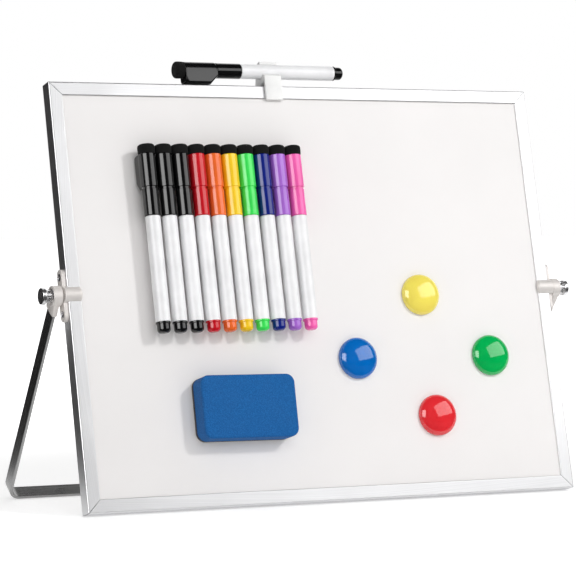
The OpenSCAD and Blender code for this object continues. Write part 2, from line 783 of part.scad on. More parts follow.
// Felt block on the end of a cap, with a rounded upper edge
module felt_pad() {
    r = pad_d / 2;
    steps = 6;
    rotate_extrude() polygon(concat(
        [[0, pad_l], [0, 0], [r - rim_chamfer, 0], [r, rim_chamfer]],
        [for (i = [0:steps]) [
            r - pad_round + pad_round * cos(i * 90 / steps),
            pad_l - pad_round + pad_round * sin(i * 90 / steps)
        ]]
    ));
}

// One marker's sub-part at the origin
module marker_part(part, tint) {
    if (part == "_barrel") marker_barrel();
    if (part == "_core") marker_core(tint);
    if (part == "_cap") marker_cap(tint);
}

// Marker number i of the row, upright on the board
module in_row(i) {
    on_desk() translate([-board_w / 2 + row_left + i * row_pitch, row_axis_y, row_z]) children();
}

// The marker lying in the clip, its cap to the left and its lug down
module in_clip() {
    on_desk() translate([clip_x + clip_grip_at, clip_pen_back, clip_axis_v])
        rotate([-90, 0, 90]) children();
}

// ---- Round magnets ----

// Moulded dome, hollow behind, and the ferrite disc in it; the dome faces -y
module round_magnet(place, tint) {
    r = magnet_d / 2;
    crown = magnet_h - magnet_rim;
    steps = 14;
    base = [place[0], frame_wall - stick_gap, board_h / 2 + place[1]];
    on_desk() translate(base) rotate([90, 0, 0]) {
        color(tint) difference() {
            rotate_extrude() polygon(concat(
                [[0, 0], [r - rim_chamfer, 0], [r, rim_chamfer]],
                [for (i = [0:steps]) [r * cos(i * 90 / steps), magnet_rim + crown * sin(i * 90 / steps)]]
            ));
            translate([0, 0, -cut])
                cylinder(h = ferrite_t + cut + 2 * press_gap, r = ferrite_d / 2 + press_gap);
        }
        color(ferrite) translate([0, 0, press_gap]) cylinder(h = ferrite_t, d = ferrite_d);
    }
}

// ---- Eraser ----

// Slab of the eraser's outline between two depths, placed and turned on the board
module eraser_slab(y_front, y_back) {
    in_eraser() translate([-eraser_l / 2, y_back, -eraser_h / 2]) rotate([90, 0, 0])
        linear_extrude(y_back - y_front) rounded_rect([eraser_l, eraser_h], eraser_r);
}

module in_eraser() {
    on_desk() translate([-board_w / 2 + eraser_left, 0, eraser_bottom])
        rotate([0, -eraser_turn, 0]) children();
}

// Space for the bar magnet, half in the foam and half in the felt
module eraser_magnet_block(gap) {
    size = [eraser_magnet_l, eraser_magnet_t, eraser_magnet_h] + 2 * gap * [1, 1, 1];
    in_eraser() translate([0, eraser_front + foam_t, 0]) cube(size, center = true);
}

module eraser_foam() {
    color(foam_blue) difference() {
        eraser_slab(eraser_front, eraser_front + foam_t);
        eraser_magnet_block(press_gap);
    }
}

module eraser_felt() {
    color(felt_black) difference() {
        eraser_slab(eraser_front + foam_t, frame_wall - stick_gap);
        eraser_magnet_block(press_gap);
    }
}

module eraser_magnet() {
    color(ferrite) eraser_magnet_block(0);
}

writing_sheet(frame_wall);  // writing_sheet_front
writing_sheet(frame_t - frame_wall - sheet_t);  // writing_sheet_back
core_panel();
frame_top();
frame_bottom();
frame_side(-1);  // frame_left
frame_side(1);  // frame_right
corner_keys();
hinge_bracket(-1);  // hinge_bracket_left
hinge_bracket(1);  // hinge_bracket_right
bracket_screws();
thread_inserts();
stand_leg();
leg_hub(-1);  // leg_hub_left
leg_hub(1);  // leg_hub_right
clamp_knob(-1);  // clamp_knob_left
clamp_knob(1);  // clamp_knob_right
lock_washer(-1);  // lock_washer_left
lock_washer(1);  // lock_washer_right
pen_clip();
for (m = MAGNETS)
    round_magnet(m[1], m[2]);
eraser_foam();
eraser_felt();
eraser_magnet();
for (i = [0:len(ROW) - 1]) for (p = PARTS)
    in_row(i) marker_part(p, ROW[i][1]);
for (p = PARTS)
    in_clip() marker_part(p, HELD[1]);
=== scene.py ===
"""Looks of a desk easel with a double-sided magnetic dry-wipe board.

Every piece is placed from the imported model: its nodes give the sizes, its joints the directions.
Lengths are metres, and the named sizes are written in millimetres times MM.
"""

import json
import logging
import math
from dataclasses import dataclass, field
from enum import Enum
from typing import Callable

import bpy
import mathutils
import numpy as np
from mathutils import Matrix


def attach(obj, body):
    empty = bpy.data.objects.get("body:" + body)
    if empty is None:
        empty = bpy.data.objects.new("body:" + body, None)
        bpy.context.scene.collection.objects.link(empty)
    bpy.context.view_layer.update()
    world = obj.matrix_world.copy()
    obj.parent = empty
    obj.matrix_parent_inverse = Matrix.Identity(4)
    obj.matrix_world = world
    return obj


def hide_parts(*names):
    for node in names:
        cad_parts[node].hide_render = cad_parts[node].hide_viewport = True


MM = 0.001
SHARP = math.radians(34.0)
log = logging.getLogger("easel")

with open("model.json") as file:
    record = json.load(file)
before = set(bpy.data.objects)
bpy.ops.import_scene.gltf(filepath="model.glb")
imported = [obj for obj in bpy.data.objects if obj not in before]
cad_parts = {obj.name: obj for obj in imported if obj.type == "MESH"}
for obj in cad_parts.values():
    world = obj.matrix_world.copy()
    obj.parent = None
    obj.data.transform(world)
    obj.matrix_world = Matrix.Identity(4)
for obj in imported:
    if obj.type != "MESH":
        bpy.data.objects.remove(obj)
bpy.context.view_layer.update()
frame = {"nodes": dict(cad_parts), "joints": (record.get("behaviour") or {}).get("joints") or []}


# ---------------------------------------------------------------- surfaces


@dataclass
class Skin:
    """One closed skin: its points, its faces, and for each face corner a place along and around it."""

    points: np.ndarray
    faces: list
    places: np.ndarray
    finish: int = 0


def ring_quads(rows: int, cols: int, wrap: bool) -> np.ndarray:
    """Corner numbers of the quads between neighbouring rings of a grid.

    Args:
        rows: number of rings.
        cols: points in each ring, which closes on itself.
        wrap: whether the last ring joins the first.

    Returns:
        One row of four point numbers for each quad.
    """
    row = np.arange(rows if wrap else rows - 1)[:, None]
    col = np.arange(cols)[None, :]
    following = (row + 1) % rows
    beside = (col + 1) % cols
    corners = [row * cols + col, row * cols + beside, following * cols + beside, following * cols + col]
    return np.stack(np.broadcast_arrays(*corners), axis=-1).reshape(-1, 4)


def ring_places(rings: np.ndarray, wrap: bool) -> np.ndarray:
    """Distances along and around a grid of rings at each quad's corners, in metres.

    Args:
        rings: rings x points x 3 array of places.
        wrap: whether the last ring joins the first.

    Returns:
        quads x 4 x 2 array: distance along the rings' middles, distance round the ring.
    """
    middles = rings.mean(axis=1)
    along = np.concatenate([[0.0], np.cumsum(np.linalg.norm(np.diff(middles, axis=0), axis=1))])
    around = np.linalg.norm(np.diff(rings, axis=1, append=rings[:, :1]), axis=2)
    around = np.concatenate([np.zeros((len(rings), 1)), np.cumsum(around, axis=1)], axis=1)
    if wrap:
        along = np.append(along, along[-1] + np.linalg.norm(middles[0] - middles[-1]))
        around = np.concatenate([around, around[:1]], axis=0)
    near, far = slice(0, -1), slice(1, None)
    grid_along = np.broadcast_to(along[:, None], around.shape)
    corners = [(near, near), (near, far), (far, far), (far, near)]
    places = [np.stack([grid_along[a, b], around[a, b]], axis=-1) for a, b in corners]
    return np.stack(places, axis=2).reshape(-1, 4, 2)


def tube(rings: np.ndarray, start: np.ndarray | None = None, end: np.ndarray | None = None) -> Skin:
    """Closed skin through a stack of rings, with a fan of triangles over each end.

    Args:
        rings: rings x points x 3 array; each ring runs anticlockwise seen from the last one.
        start: point at the middle of the first end, or None for the ring's middle.
        end: point at the middle of the last end, or None for the ring's middle.

    Returns:
        The skin, facing outwards.
    """
    rows, cols = rings.shape[:2]
    quads = ring_quads(rows, cols, wrap=False)
    middle_a = rings[0].mean(axis=0) if start is None else np.asarray(start, float)
    middle_b = rings[-1].mean(axis=0) if end is None else np.asarray(end, float)
    points = np.concatenate([rings.reshape(-1, 3), [middle_a, middle_b]])
    here = np.arange(cols)
    beside = (here + 1) % cols
    pole_a, pole_b = rows * cols, rows * cols + 1
    fan_a = np.stack([beside, here, np.full(cols, pole_a)], axis=1)
    last = (rows - 1) * cols
    fan_b = np.stack([here + last, beside + last, np.full(cols, pole_b)], axis=1)
    faces = quads.tolist() + fan_a.tolist() + fan_b.tolist()
    places = ring_places(rings, wrap=False).reshape(-1, 2)
    flat = np.concatenate([fan_a.ravel(), fan_b.ravel()])
    spread = points[flat] - points.mean(axis=0)
    return Skin(points, faces, np.concatenate([places, spread[:, [0, 1]]]))


def hoop(rings: np.ndarray) -> Skin:
    """Closed skin of sections round a closed path, each one anticlockwise seen against the path."""
    faces = ring_quads(rings.shape[0], rings.shape[1], wrap=True).tolist()
    return Skin(rings.reshape(-1, 3), faces, ring_places(rings, wrap=True).reshape(-1, 2))


def capped(rings: np.ndarray, start: np.ndarray, end: np.ndarray) -> Skin:
    """Closed skin through a stack of rings whose two ends are whole polygons.

    Args:
        rings: rings x points x 3 array; each ring runs anticlockwise seen from the last one.
        start: flat places of the first end's corners.
        end: flat places of the last end's corners.

    Returns:
        The skin, facing outwards.
    """
    rows, cols = rings.shape[:2]
    ends = [list(range(cols))[::-1], list(range((rows - 1) * cols, rows * cols))]
    places = np.concatenate([ring_places(rings, wrap=False).reshape(-1, 2), start[::-1], end])
    return Skin(rings.reshape(-1, 3), ring_quads(rows, cols, wrap=False).tolist() + ends, places)


def lifted(flat: np.ndarray, height: np.ndarray) -> np.ndarray:
    """Flat outlines, rings x points x 2, each raised to its own height."""
    return np.concatenate([flat, np.broadcast_to(height[:, None, None], flat.shape[:2] + (1,))], axis=2)


def fillet(corners: list, closed: bool = False, steps: int = 4) -> np.ndarray:
    """Polyline whose corners are true arcs.

    Each corner is a weighted quadratic curve with the sine of half its angle as weight, which is
    a circle's arc that touches both sides. A point on either side close to the arc keeps the
    shading of the flat beyond it flat.

    Args:
        corners: (first, second, radius) for each corner, with radius 0 for a sharp one.
        closed: whether the last corner joins the first.
        steps: segments in each arc.

    Returns:
        Points of the polyline, two coordinates each.
    """
    data = np.asarray(corners, float)
    here, radius = data[:, :2], data[:, 2]
    if not closed:
        radius = radius * np.r_[0.0, np.ones(len(data) - 2), 0.0]
    back = np.roll(here, 1, axis=0) - here
    on = np.roll(here, -1, axis=0) - here
    back /= np.linalg.norm(back, axis=1, keepdims=True) + 1e-15
    on /= np.linalg.norm(on, axis=1, keepdims=True) + 1e-15
    half = 0.5 * np.arccos(np.clip(np.sum(back * on, axis=1), -1.0, 1.0))
    reach = np.where(radius > 0, radius / np.maximum(np.tan(half), 1e-6), 0.0)
    side = np.linalg.norm(np.roll(here, -1, axis=0) - here, axis=1)
    room = side - reach - np.roll(reach, -1)
    hold_on = np.clip(np.minimum(0.4 * radius, 0.3 * room), 0.0, None)
    hold_back = np.clip(np.minimum(0.4 * radius, 0.3 * np.roll(room, 1)), 0.0, None)
    before, after = here + back * (reach + hold_back)[:, None], here + on * (reach + hold_on)[:, None]
    first, last = here + back * reach[:, None], here + on * reach[:, None]
    weight = np.sin(half)[:, None, None]
    t = np.linspace(0.0, 1.0, steps + 1)[None, :, None]
    a, b, c = (1 - t) ** 2, 2 * t * (1 - t) * weight, t**2
    arc = (a * first[:, None] + b * here[:, None] + c * last[:, None]) / (a + b + c)
    line = np.concatenate([before[:, None], arc, after[:, None]], axis=1).reshape(-1, 2)
    kept = np.linalg.norm(np.diff(line, axis=0, prepend=line[:1] + 1.0), axis=1) > 1e-9
    line = line[kept]
    if closed and np.linalg.norm(line[0] - line[-1]) < 1e-9:
        line = line[:-1]
    return line


def refine(line: np.ndarray, step: float) -> np.ndarray:
    """The same open polyline with points added so that no segment is longer than a step.

    Args:
        line: points x 2 array.
        step: longest segment.

    Returns:
        The denser polyline.
    """
    lengths = np.linalg.norm(np.diff(line, axis=0), axis=1)
    counts = np.maximum(np.ceil(lengths / step).astype(int), 1)
    index = np.repeat(np.arange(len(counts)), counts)
    part = np.concatenate([np.arange(n) / n for n in counts])[:, None]
    inner = line[index] * (1 - part) + line[index + 1] * part
    return np.concatenate([inner, line[-1:]])


def full_turn(count: int) -> np.ndarray:
    """So many equal angles of a whole turn, from 0."""
    return np.arange(count) * 2 * np.pi / count


def turned(radius: np.ndarray, height: np.ndarray, turn: np.ndarray) -> np.ndarray:
    """Rings of (r cos a, r sin a, h), where radius and height may change with the angle too.

    Args:
        radius: one radius for each ring, or rings x angles of them.
        height: one height for each ring, or rings x angles of them.
        turn: the angles.

    Returns:
        rings x angles x 3 array.
    """
    radius, height = (v[:, None] if v.ndim == 1 else v for v in (radius, height))
    shown = radius * np.cos(turn), radius * np.sin(turn), height
    return np.stack(np.broadcast_arrays(*shown), axis=-1)


def sections(radius: np.ndarray, height: np.ndarray, turn: np.ndarray) -> np.ndarray:
    """The same surface as a section at each angle: angles x points x 3 array."""
    return turned(radius, height, turn).swapaxes(0, 1)


def lathe_ring(profile: np.ndarray, count: int = 64) -> Skin:
    """A bored turned piece: a closed anticlockwise (radius, height) section carried round the axis."""
    return hoop(sections(*profile[::-1].T, full_turn(count)))


def revolve(profile: np.ndarray, count: int = 64) -> Skin:
    """Skin of a profile turned about the third axis: (r cos a, r sin a, h).

    Args:
        profile: (radius, height) points from the lower pole to the upper one; ends of no radius
            become single pole points.
        count: number of angles.

    Returns:
        The closed skin.
    """
    turn = full_turn(count)
    poles = [None, None]
    if profile[0, 0] < 1e-9:
        poles[0], profile = [0, 0, profile[0, 1]], profile[1:]
    if profile[-1, 0] < 1e-9:
        poles[1], profile = [0, 0, profile[-1, 1]], profile[:-1]
    return tube(turned(profile[:, 0], profile[:, 1], turn), *poles)


def outline_normals(outline: np.ndarray) -> np.ndarray:
    """Outward normals of a closed anticlockwise outline, long enough to keep its walls parallel.

    Args:
        outline: points x 2 array.

    Returns:
        points x 2 array: each corner's move for one unit of outward offset.
    """
    on = np.roll(outline, -1, axis=0) - outline
    on /= np.linalg.norm(on, axis=1, keepdims=True)
    out = np.stack([on[:, 1], -on[:, 0]], axis=1)
    both = out + np.roll(out, 1, axis=0)
    both /= np.linalg.norm(both, axis=1, keepdims=True)
    return both / np.maximum(np.sum(both * out, axis=1, keepdims=True), 0.5)


def prism(outline: np.ndarray, low: float, high: float, edge: float, steps: int = 3) -> Skin:
    """Slab of an outline between two heights with both rims rounded.

    The outline is drawn in by edge (1 - cos a) while it climbs edge (1 - sin a) from the end, and
    one more ring on each end face keeps the shading of that face flat.

    Args:
        outline: anticlockwise points x 2 array.
        low: height of the lower face.
        high: height of the upper face.
        edge: radius of the rims.
        steps: segments in each rim.

    Returns:
        The closed skin, whose end faces are whole polygons.
    """
    a = np.linspace(np.pi / 2, 0.0, steps + 1)
    inset = np.r_[1.4 * edge, edge * (1 - np.cos(a))]
    climb = np.r_[0.0, edge * (1 - np.sin(a))]
    insets = np.concatenate([inset, inset[::-1]])
    heights = np.concatenate([low + climb, high - climb[::-1]])
    flat = outline[None] - insets[:, None, None] * outline_normals(outline)[None]
    return capped(lifted(flat, heights), flat[0], flat[-1])


def oblong(width: float, height: float, corner: float, steps: int = 5) -> np.ndarray:
    """Anticlockwise outline of a rectangle centred on the origin, with steps segments in each corner."""
    x, y = width / 2, height / 2
    return fillet([(-x, -y, corner), (x, -y, corner), (x, y, corner), (-x, y, corner)], True, steps)


@dataclass(frozen=True)
class Datum:
    """A sub-assembly's own axes in the model's frame.

    Attributes:
        origin: where its zero point is.
        axes: its three unit directions, one in each row.
    """

    origin: np.ndarray
    axes: np.ndarray

    def to_model(self, points: np.ndarray) -> np.ndarray:
        """Places of its own points in the model's frame."""
        return np.asarray(points) @ self.axes + self.origin

    def to_own(self, points: np.ndarray) -> np.ndarray:
        """Places of the model's points along its own axes."""
        return (np.asarray(points) - self.origin) @ self.axes.T

    def span(self, node: str) -> tuple:
        """Lowest and highest corner of a node along its own axes."""
        points = self.to_own(node_points(node))
        return points.min(axis=0), points.max(axis=0)

    def put(self, skin: Skin) -> Skin:
        """The skin moved into the model's frame, turned the right way out where the axes mirror it.

        Args:
            skin: a skin along the sub-assembly's own axes.

        Returns:
            The same skin in the model's frame.
        """
        faces, places = skin.faces, skin.places
        if np.linalg.det(self.axes) < 0:
            counts = np.array([len(f) for f in faces])
            ends = np.cumsum(counts)
            order = np.concatenate([np.arange(e - 1, e - c - 1, -1) for c, e in zip(counts, ends)])
            faces = [f[::-1] for f in faces]
            places = places[order]
        return Skin(self.to_model(skin.points), faces, places, skin.finish)


def node_points(node: str) -> np.ndarray:
    """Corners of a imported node's mesh, in the model's frame.

    Args:
        node: the node's name.

    Returns:
        points x 3 array.
    """
    mesh = frame["nodes"][node].data
    flat = np.empty(len(mesh.vertices) * 3, np.float32)
    mesh.vertices.foreach_get("co", flat)
    return flat.reshape(-1, 3).astype(float)


def joint_of(name: str) -> dict:
    """The record's entry for one joint."""
    return next(j for j in frame["joints"] if j["name"] == name)


def make_piece(name: str, skins: list, finishes: list, body: str, nodes: tuple = ()) -> object:
    """Makes one visible piece from skins and sets it on its body.

    Args:
        name: the piece's name.
        skins: its skins in the model's frame; each one's finish is its place in finishes.
        finishes: the materials that it wears.
        body: the body that it moves with.
        nodes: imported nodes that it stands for.

    Returns:
        The new object.
    """
    starts = np.cumsum([0] + [len(s.points) for s in skins])
    faces = [[i + start for i in f] for s, start in zip(skins, starts) for f in s.faces]
    mesh = bpy.data.meshes.new(name)
    mesh.from_pydata(np.concatenate([s.points for s in skins]).tolist(), [], faces)
    uv = mesh.uv_layers.new(name="places")
    uv.data.foreach_set("uv", np.concatenate([s.places for s in skins]).astype(np.float32).ravel())
    wear = np.concatenate([np.full(len(s.faces), s.finish, np.int32) for s in skins])
    mesh.polygons.foreach_set("material_index", wear)
    mesh.polygons.foreach_set("use_smooth", np.ones(len(faces), bool))
    mesh.update()
    mesh.set_sharp_from_angle(angle=SHARP)
    for material in finishes:
        mesh.materials.append(material)
    piece = bpy.data.objects.new(name, mesh)
    bpy.context.scene.collection.objects.link(piece)
    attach(piece, body)
    if nodes:
        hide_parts(*nodes)
    log.info("%s: %d faces on %s", name, len(faces), body)
    return piece


# ---------------------------------------------------------------- finishes


def linear(colour: tuple) -> tuple:
    """A colour as it shows, from 0 to 1, as the linear value that renders to it, with full alpha.

    Args:
        colour: red, green and blue.

    Returns:
        Linear red, green, blue and alpha.
    """
    c = np.asarray(colour, float)
    low, high = c / 12.92, ((c + 0.055) / 1.055) ** 2.4
    return (*np.where(c <= 0.04045, low, high).tolist(), 1.0)


class Graph:
    """A node tree that is filled with one call for each node."""

    def __init__(self, tree: object) -> None:
        """Takes the tree to fill."""
        self.tree = tree

    def feed(self, node: object, inputs: dict) -> None:
        """Sets each input of a node, by name or number, to a value or links a socket to it.

        Args:
            node: the node to set.
            inputs: value or socket for each of its inputs.
        """
        for key, value in inputs.items():
            if isinstance(value, bpy.types.NodeSocket):
                self.tree.links.new(value, node.inputs[key])
            else:
                node.inputs[key].default_value = value

    def add(self, kind: str, inputs: dict | None = None, **settings: object) -> object:
        """Adds a node.

        Args:
            kind: the node's type without its ShaderNode prefix.
            inputs: value or socket for each input, by name or number.
            settings: the node's own properties.

        Returns:
            The new node.
        """
        node = self.tree.nodes.new(kind if kind.startswith("Node") else "ShaderNode" + kind)
        for key, value in settings.items():
            setattr(node, key, value)
        self.feed(node, inputs or {})
        return node

    def group(self, tree: object, **inputs: object) -> object:
        """Output sockets of a shared group that is fed with these inputs."""
        return self.add("Group", inputs, node_tree=tree).outputs

    def math(self, operation: str, first: object, second: object) -> object:
        """Two values put together by an arithmetic operation, as a socket."""
        return self.add("Math", {0: first, 1: second}, operation=operation).outputs[0]

    def noise(self, vector: object, scale: object, detail: float, distortion: float = 0.0) -> object:
        """Fractal noise, as a socket."""
        inputs = {"Vector": vector, "Scale": scale, "Detail": detail, "Distortion": distortion}
        return self.add("TexNoise", inputs).outputs["Fac"]

    def bump(self, height: object, strength: object, distance: float) -> object:
        """Normals of a relief, as a socket."""
        inputs = {"Height": height, "Strength": strength, "Distance": distance}
        return self.add("Bump", inputs).outputs["Normal"]

    def mix(self, mask: object, low: tuple, high: tuple) -> object:
        """Colour between two colours by a mask, as a socket.

        Args:
            mask: socket of the mask.
            low: linear colour where the mask is 0.
            high: linear colour where it is 1.

        Returns:
            The colour's socket.
        """
        node = self.add("Mix", {0: mask}, data_type="RGBA")
        for key, value in (("A", low), ("B", high)):
            socket = [s for s in node.inputs if s.name == key and s.type == "RGBA"][0]
            socket.default_value = value
        return [s for s in node.outputs if s.type == "RGBA"][0]

    def span(self, value: object, low: float, high: float) -> object:
        """A mask from 0 to 1 spread between two numbers, as a socket."""
        return self.add("MapRange", {"Value": value, "To Min": low, "To Max": high}).outputs["Result"]

    def level(self, value: object, low: float, high: float) -> object:
        """A mask that climbs from 0 to 1 while the value climbs from low to high, as a socket."""
        return self.add("MapRange", {"Value": value, "From Min": low, "From Max": high}).outputs["Result"]


def shader_group(name: str, inputs: dict, outputs: tuple, fill: Callable) -> object:
    """A shader node group with named sockets.

    Args:
        name: the group's name.
        inputs: socket type and starting value by name, with the type's last word only.
        outputs: (name, type) pairs.
        fill: function that takes a Graph, the input sockets and returns the output sockets.

    Returns:
        The node group.
    """
    tree = bpy.data.node_groups.new(name, "ShaderNodeTree")
    for socket, (kind, value) in inputs.items():
        made = tree.interface.new_socket(name=socket, in_out="INPUT", socket_type="NodeSocket" + kind)
        if value is not None:
            made.default_value = value
    for socket, kind in outputs:
        tree.interface.new_socket(name=socket, in_out="OUTPUT", socket_type="NodeSocket" + kind)
    graph = Graph(tree)
    given = graph.add("NodeGroupInput")
    results = fill(graph, {s.name: s for s in given.outputs if s.name})
    graph.add("NodeGroupOutput", dict(zip([o[0] for o in outputs], results)))
    return tree


def fill_mottle(graph: Graph, given: dict) -> list:
    """Soft clouds: fractal noise, spread over the whole range."""
    return [graph.level(graph.noise(given["Vector"], given["Scale"], 4.0), 0.3, 0.7)]


def fill_brushing(graph: Graph, given: dict) -> list:
    """Fine lines along the first coordinate: noise squeezed hard across it, in two widths.

    Args:
        graph: the group's graph.
        given: its input sockets by name.

    Returns:
        List of the mask's and the relief's sockets.
    """
    masks = []
    for across, along in ((5200.0, 14.0), (1500.0, 5.0)):
        placed = graph.add("Mapping", {"Vector": given["Vector"], "Scale": (along, across, across)})
        masks.append(graph.noise(placed.outputs["Vector"], 1.0, 3.0))
    mask = graph.level(graph.math("ADD", *masks), 0.7, 1.3)
    return [mask, graph.bump(mask, given["Strength"], 0.02 * MM)]


def fill_skin(graph: Graph, given: dict) -> list:
    """Faint unevenness of a moulded or painted face: two noises as a height.

    Args:
        graph: the group's graph.
        given: its input sockets by name.

    Returns:
        List of the height's and the relief's sockets.
    """
    coarse = graph.noise(given["Vector"], given["Scale"], 2.0)
    fine = graph.noise(given["Vector"], graph.math("MULTIPLY", given["Scale"], 6.0), 1.0)
    both = graph.math("ADD", coarse, graph.math("MULTIPLY", fine, 0.25))
    return [both, graph.bump(both, given["Strength"], 0.1 * MM)]


def fill_pores(graph: Graph, given: dict) -> list:
    """Open cells of a foam: rounded cell middles, broken up by noise; the mask is low down in the hollows,
    where the finish paints shade.

    Args:
        graph: the group's graph.
        given: its input sockets by name.

    Returns:
        List of the mask's and the relief's sockets.
    """
    cells = graph.add("TexVoronoi", {"Vector": given["Vector"], "Scale": given["Scale"]})
    rough = graph.math("MULTIPLY", graph.noise(given["Vector"], given["Scale"], 3.0), 0.6)
    height = graph.math("ADD", cells.outputs["Distance"], rough)
    return [graph.level(height, 0.25, 1.05), graph.bump(height, given["Strength"], 0.25 * MM)]


def fill_scuffs(graph: Graph, given: dict) -> list:
    """A few hair-thin wipe marks: bands of a distorted noise where a second noise is high.

    Args:
        graph: the group's graph.
        given: its input sockets by name.

    Returns:
        List of the mask's socket.
    """
    line = graph.level(graph.noise(given["Vector"], 38.0, 5.0, 1.4), 0.56, 0.6)
    patch = graph.level(graph.noise(given["Vector"], 9.0, 1.0), 0.45, 0.7)
    return [graph.math("MULTIPLY", line, patch)]


VECTOR_IN = {"Vector": ("Vector", None)}
SCALE_IN = {"Scale": ("Float", 100.0)}
STRENGTH_IN = {"Strength": ("Float", 0.2)}
MASK_OUT = ("Mask", "Float")
NORMAL_OUT = ("Normal", "Vector")


class Groups:
    """The shader groups that several finishes share, each built once."""

    def __init__(self) -> None:
        """Builds every group."""
        grained, relief = VECTOR_IN | SCALE_IN | STRENGTH_IN, (MASK_OUT, NORMAL_OUT)
        self.mottle = shader_group("Mottle", VECTOR_IN | SCALE_IN, (MASK_OUT,), fill_mottle)
        self.brushing = shader_group("Brushing", VECTOR_IN | STRENGTH_IN, relief, fill_brushing)
        self.skin = shader_group("Skin", grained, relief, fill_skin)
        self.pores = shader_group("Pores", grained, relief, fill_pores)
        self.scuffs = shader_group("Scuffs", VECTOR_IN, (MASK_OUT,), fill_scuffs)


GROUPS = Groups()


@dataclass(frozen=True)
class Finish:
    """A material that is built from shared groups around one Principled shader.

    Attributes:
        name: the material's name.
        colour: its colour as it shows.
    """

    name: str
    colour: tuple

    def material(self) -> object:
        """Builds the material: what sockets() gives goes into its shader.

        Returns:
            The new material.
        """
        material = bpy.data.materials.new(self.name)
        material.use_nodes = True
        graph = Graph(material.node_tree)
        own = graph.add("TexCoord").outputs["Object"]
        graph.feed(material.node_tree.nodes["Principled BSDF"], self.sockets(graph, own))
        return material

    def sockets(self, graph: Graph, own: object) -> dict:
        """Value or socket, by name, for each input of the shader that this finish sets."""
        raise NotImplementedError


def shade(colour: tuple, factor: float) -> tuple:
    """A seen colour made darker or lighter, as a linear value."""
    return linear(tuple(min(c * factor, 1.0) for c in colour))


@dataclass(frozen=True)
class Moulded(Finish):
    """Injection moulded plastic: even colour with slight clouds, and a faintly uneven gloss.

    Attributes:
        roughness: middle of its roughness.
        spread: how much the roughness varies.
        coat: weight of the clear gloss on top.
        grain: waves of the uneven skin in each metre.
        depth: strength of that unevenness.
        clouds: how much lighter and darker the colour drifts.
        metal: share of metal flake in it.
    """

    roughness: float = 0.2
    spread: float = 0.05
    coat: float = 0.0
    grain: float = 350.0
    depth: float = 0.06
    clouds: float = 0.03
    metal: float = 0.0

    def sockets(self, graph: Graph, own: object) -> dict:
        """Clouded colour, drifting roughness and the uneven skin.

        Args:
            graph: the material's graph.
            own: the piece's own coordinates.

        Returns:
            The values and sockets by the inputs' names.
        """
        mottle = graph.group(GROUPS.mottle, Vector=own, Scale=60.0)["Mask"]
        skin = graph.group(GROUPS.skin, Vector=own, Scale=self.grain, Strength=self.depth)
        low, high = shade(self.colour, 1 - self.clouds), shade(self.colour, 1 + self.clouds)
        return {
            "Base Color": graph.mix(mottle, low, high),
            "Roughness": graph.span(mottle, self.roughness - self.spread, self.roughness + self.spread),
            "Metallic": self.metal,
            "Coat Weight": self.coat,
            "Coat Roughness": 0.05,
            "Normal": skin["Normal"],
        }


@dataclass(frozen=True)
class Brushed(Finish):
    """Drawn or brushed metal with lines along each piece's own length.

    Attributes:
        roughness: roughness between the lines.
        spread: how much rougher the lines are.
        contrast: how much darker the lines are.
        lines: strength of the lines' relief.
    """

    roughness: float = 0.3
    spread: float = 0.1
    contrast: float = 0.06
    lines: float = 0.25

    def sockets(self, graph: Graph, own: object) -> dict:
        """Lined colour, roughness that clouds drift over, and the lines' relief.

        Args:
            graph: the material's graph.
            own: the piece's own coordinates.

        Returns:
            The values and sockets by the inputs' names.
        """
        along = graph.add("UVMap", uv_map="places").outputs["UV"]
        brushing = graph.group(GROUPS.brushing, Vector=along, Strength=self.lines)
        mottle = graph.group(GROUPS.mottle, Vector=own, Scale=25.0)["Mask"]
        mask = graph.math("MULTIPLY", brushing["Mask"], mottle)
        dark, light = shade(self.colour, 1 - self.contrast), shade(self.colour, 1 + self.contrast / 2)
        return {
            "Base Color": graph.mix(brushing["Mask"], dark, light),
            "Roughness": graph.span(mask, self.roughness, self.roughness + self.spread),
            "Metallic": 1.0,
            "Normal": brushing["Normal"],
        }


@dataclass(frozen=True)
class Plated(Finish):
    """Bright plating with faint clouds and rub marks.

    Attributes:
        roughness: its roughness where it is clean.
    """

    roughness: float = 0.1

    def sockets(self, graph: Graph, own: object) -> dict:
        """Clouded colour and roughness on a faintly uneven skin.

        Args:
            graph: the material's graph.
            own: the piece's own coordinates.

        Returns:
            The values and sockets by the inputs' names.
        """
        mottle = graph.group(GROUPS.mottle, Vector=own, Scale=420.0)["Mask"]
        return {
            "Base Color": graph.mix(mottle, shade(self.colour, 0.93), linear(self.colour)),
            "Roughness": graph.span(mottle, self.roughness, self.roughness + 0.12),
            "Metallic": 1.0,
            "Normal": graph.group(GROUPS.skin, Vector=own, Scale=600.0, Strength=0.05)["Normal"],
        }


@dataclass(frozen=True)
class Enamel(Finish):
    """Coated steel that markers wipe off: glossy white with faint wipe marks.

    Attributes:
        roughness: its roughness where it is clean.
        gloss: how strongly it mirrors.
    """

    roughness: float = 0.16
    gloss: float = 0.2

    def sockets(self, graph: Graph, own: object) -> dict:
        """Faintly clouded white, duller where it was wiped.

        Args:
            graph: the material's graph.
            own: the piece's own coordinates.

        Returns:
            The values and sockets by the inputs' names.
        """
        mottle = graph.group(GROUPS.mottle, Vector=own, Scale=7.0)["Mask"]
        scuffs = graph.group(GROUPS.scuffs, Vector=own)["Mask"]
        return {
            "Base Color": graph.mix(mottle, shade(self.colour, 0.985), shade(self.colour, 1.01)),
            "Roughness": graph.span(scuffs, self.roughness, self.roughness + 0.12),
            "Specular IOR Level": self.gloss,
            "Normal": graph.group(GROUPS.skin, Vector=own, Scale=260.0, Strength=0.03)["Normal"],
        }


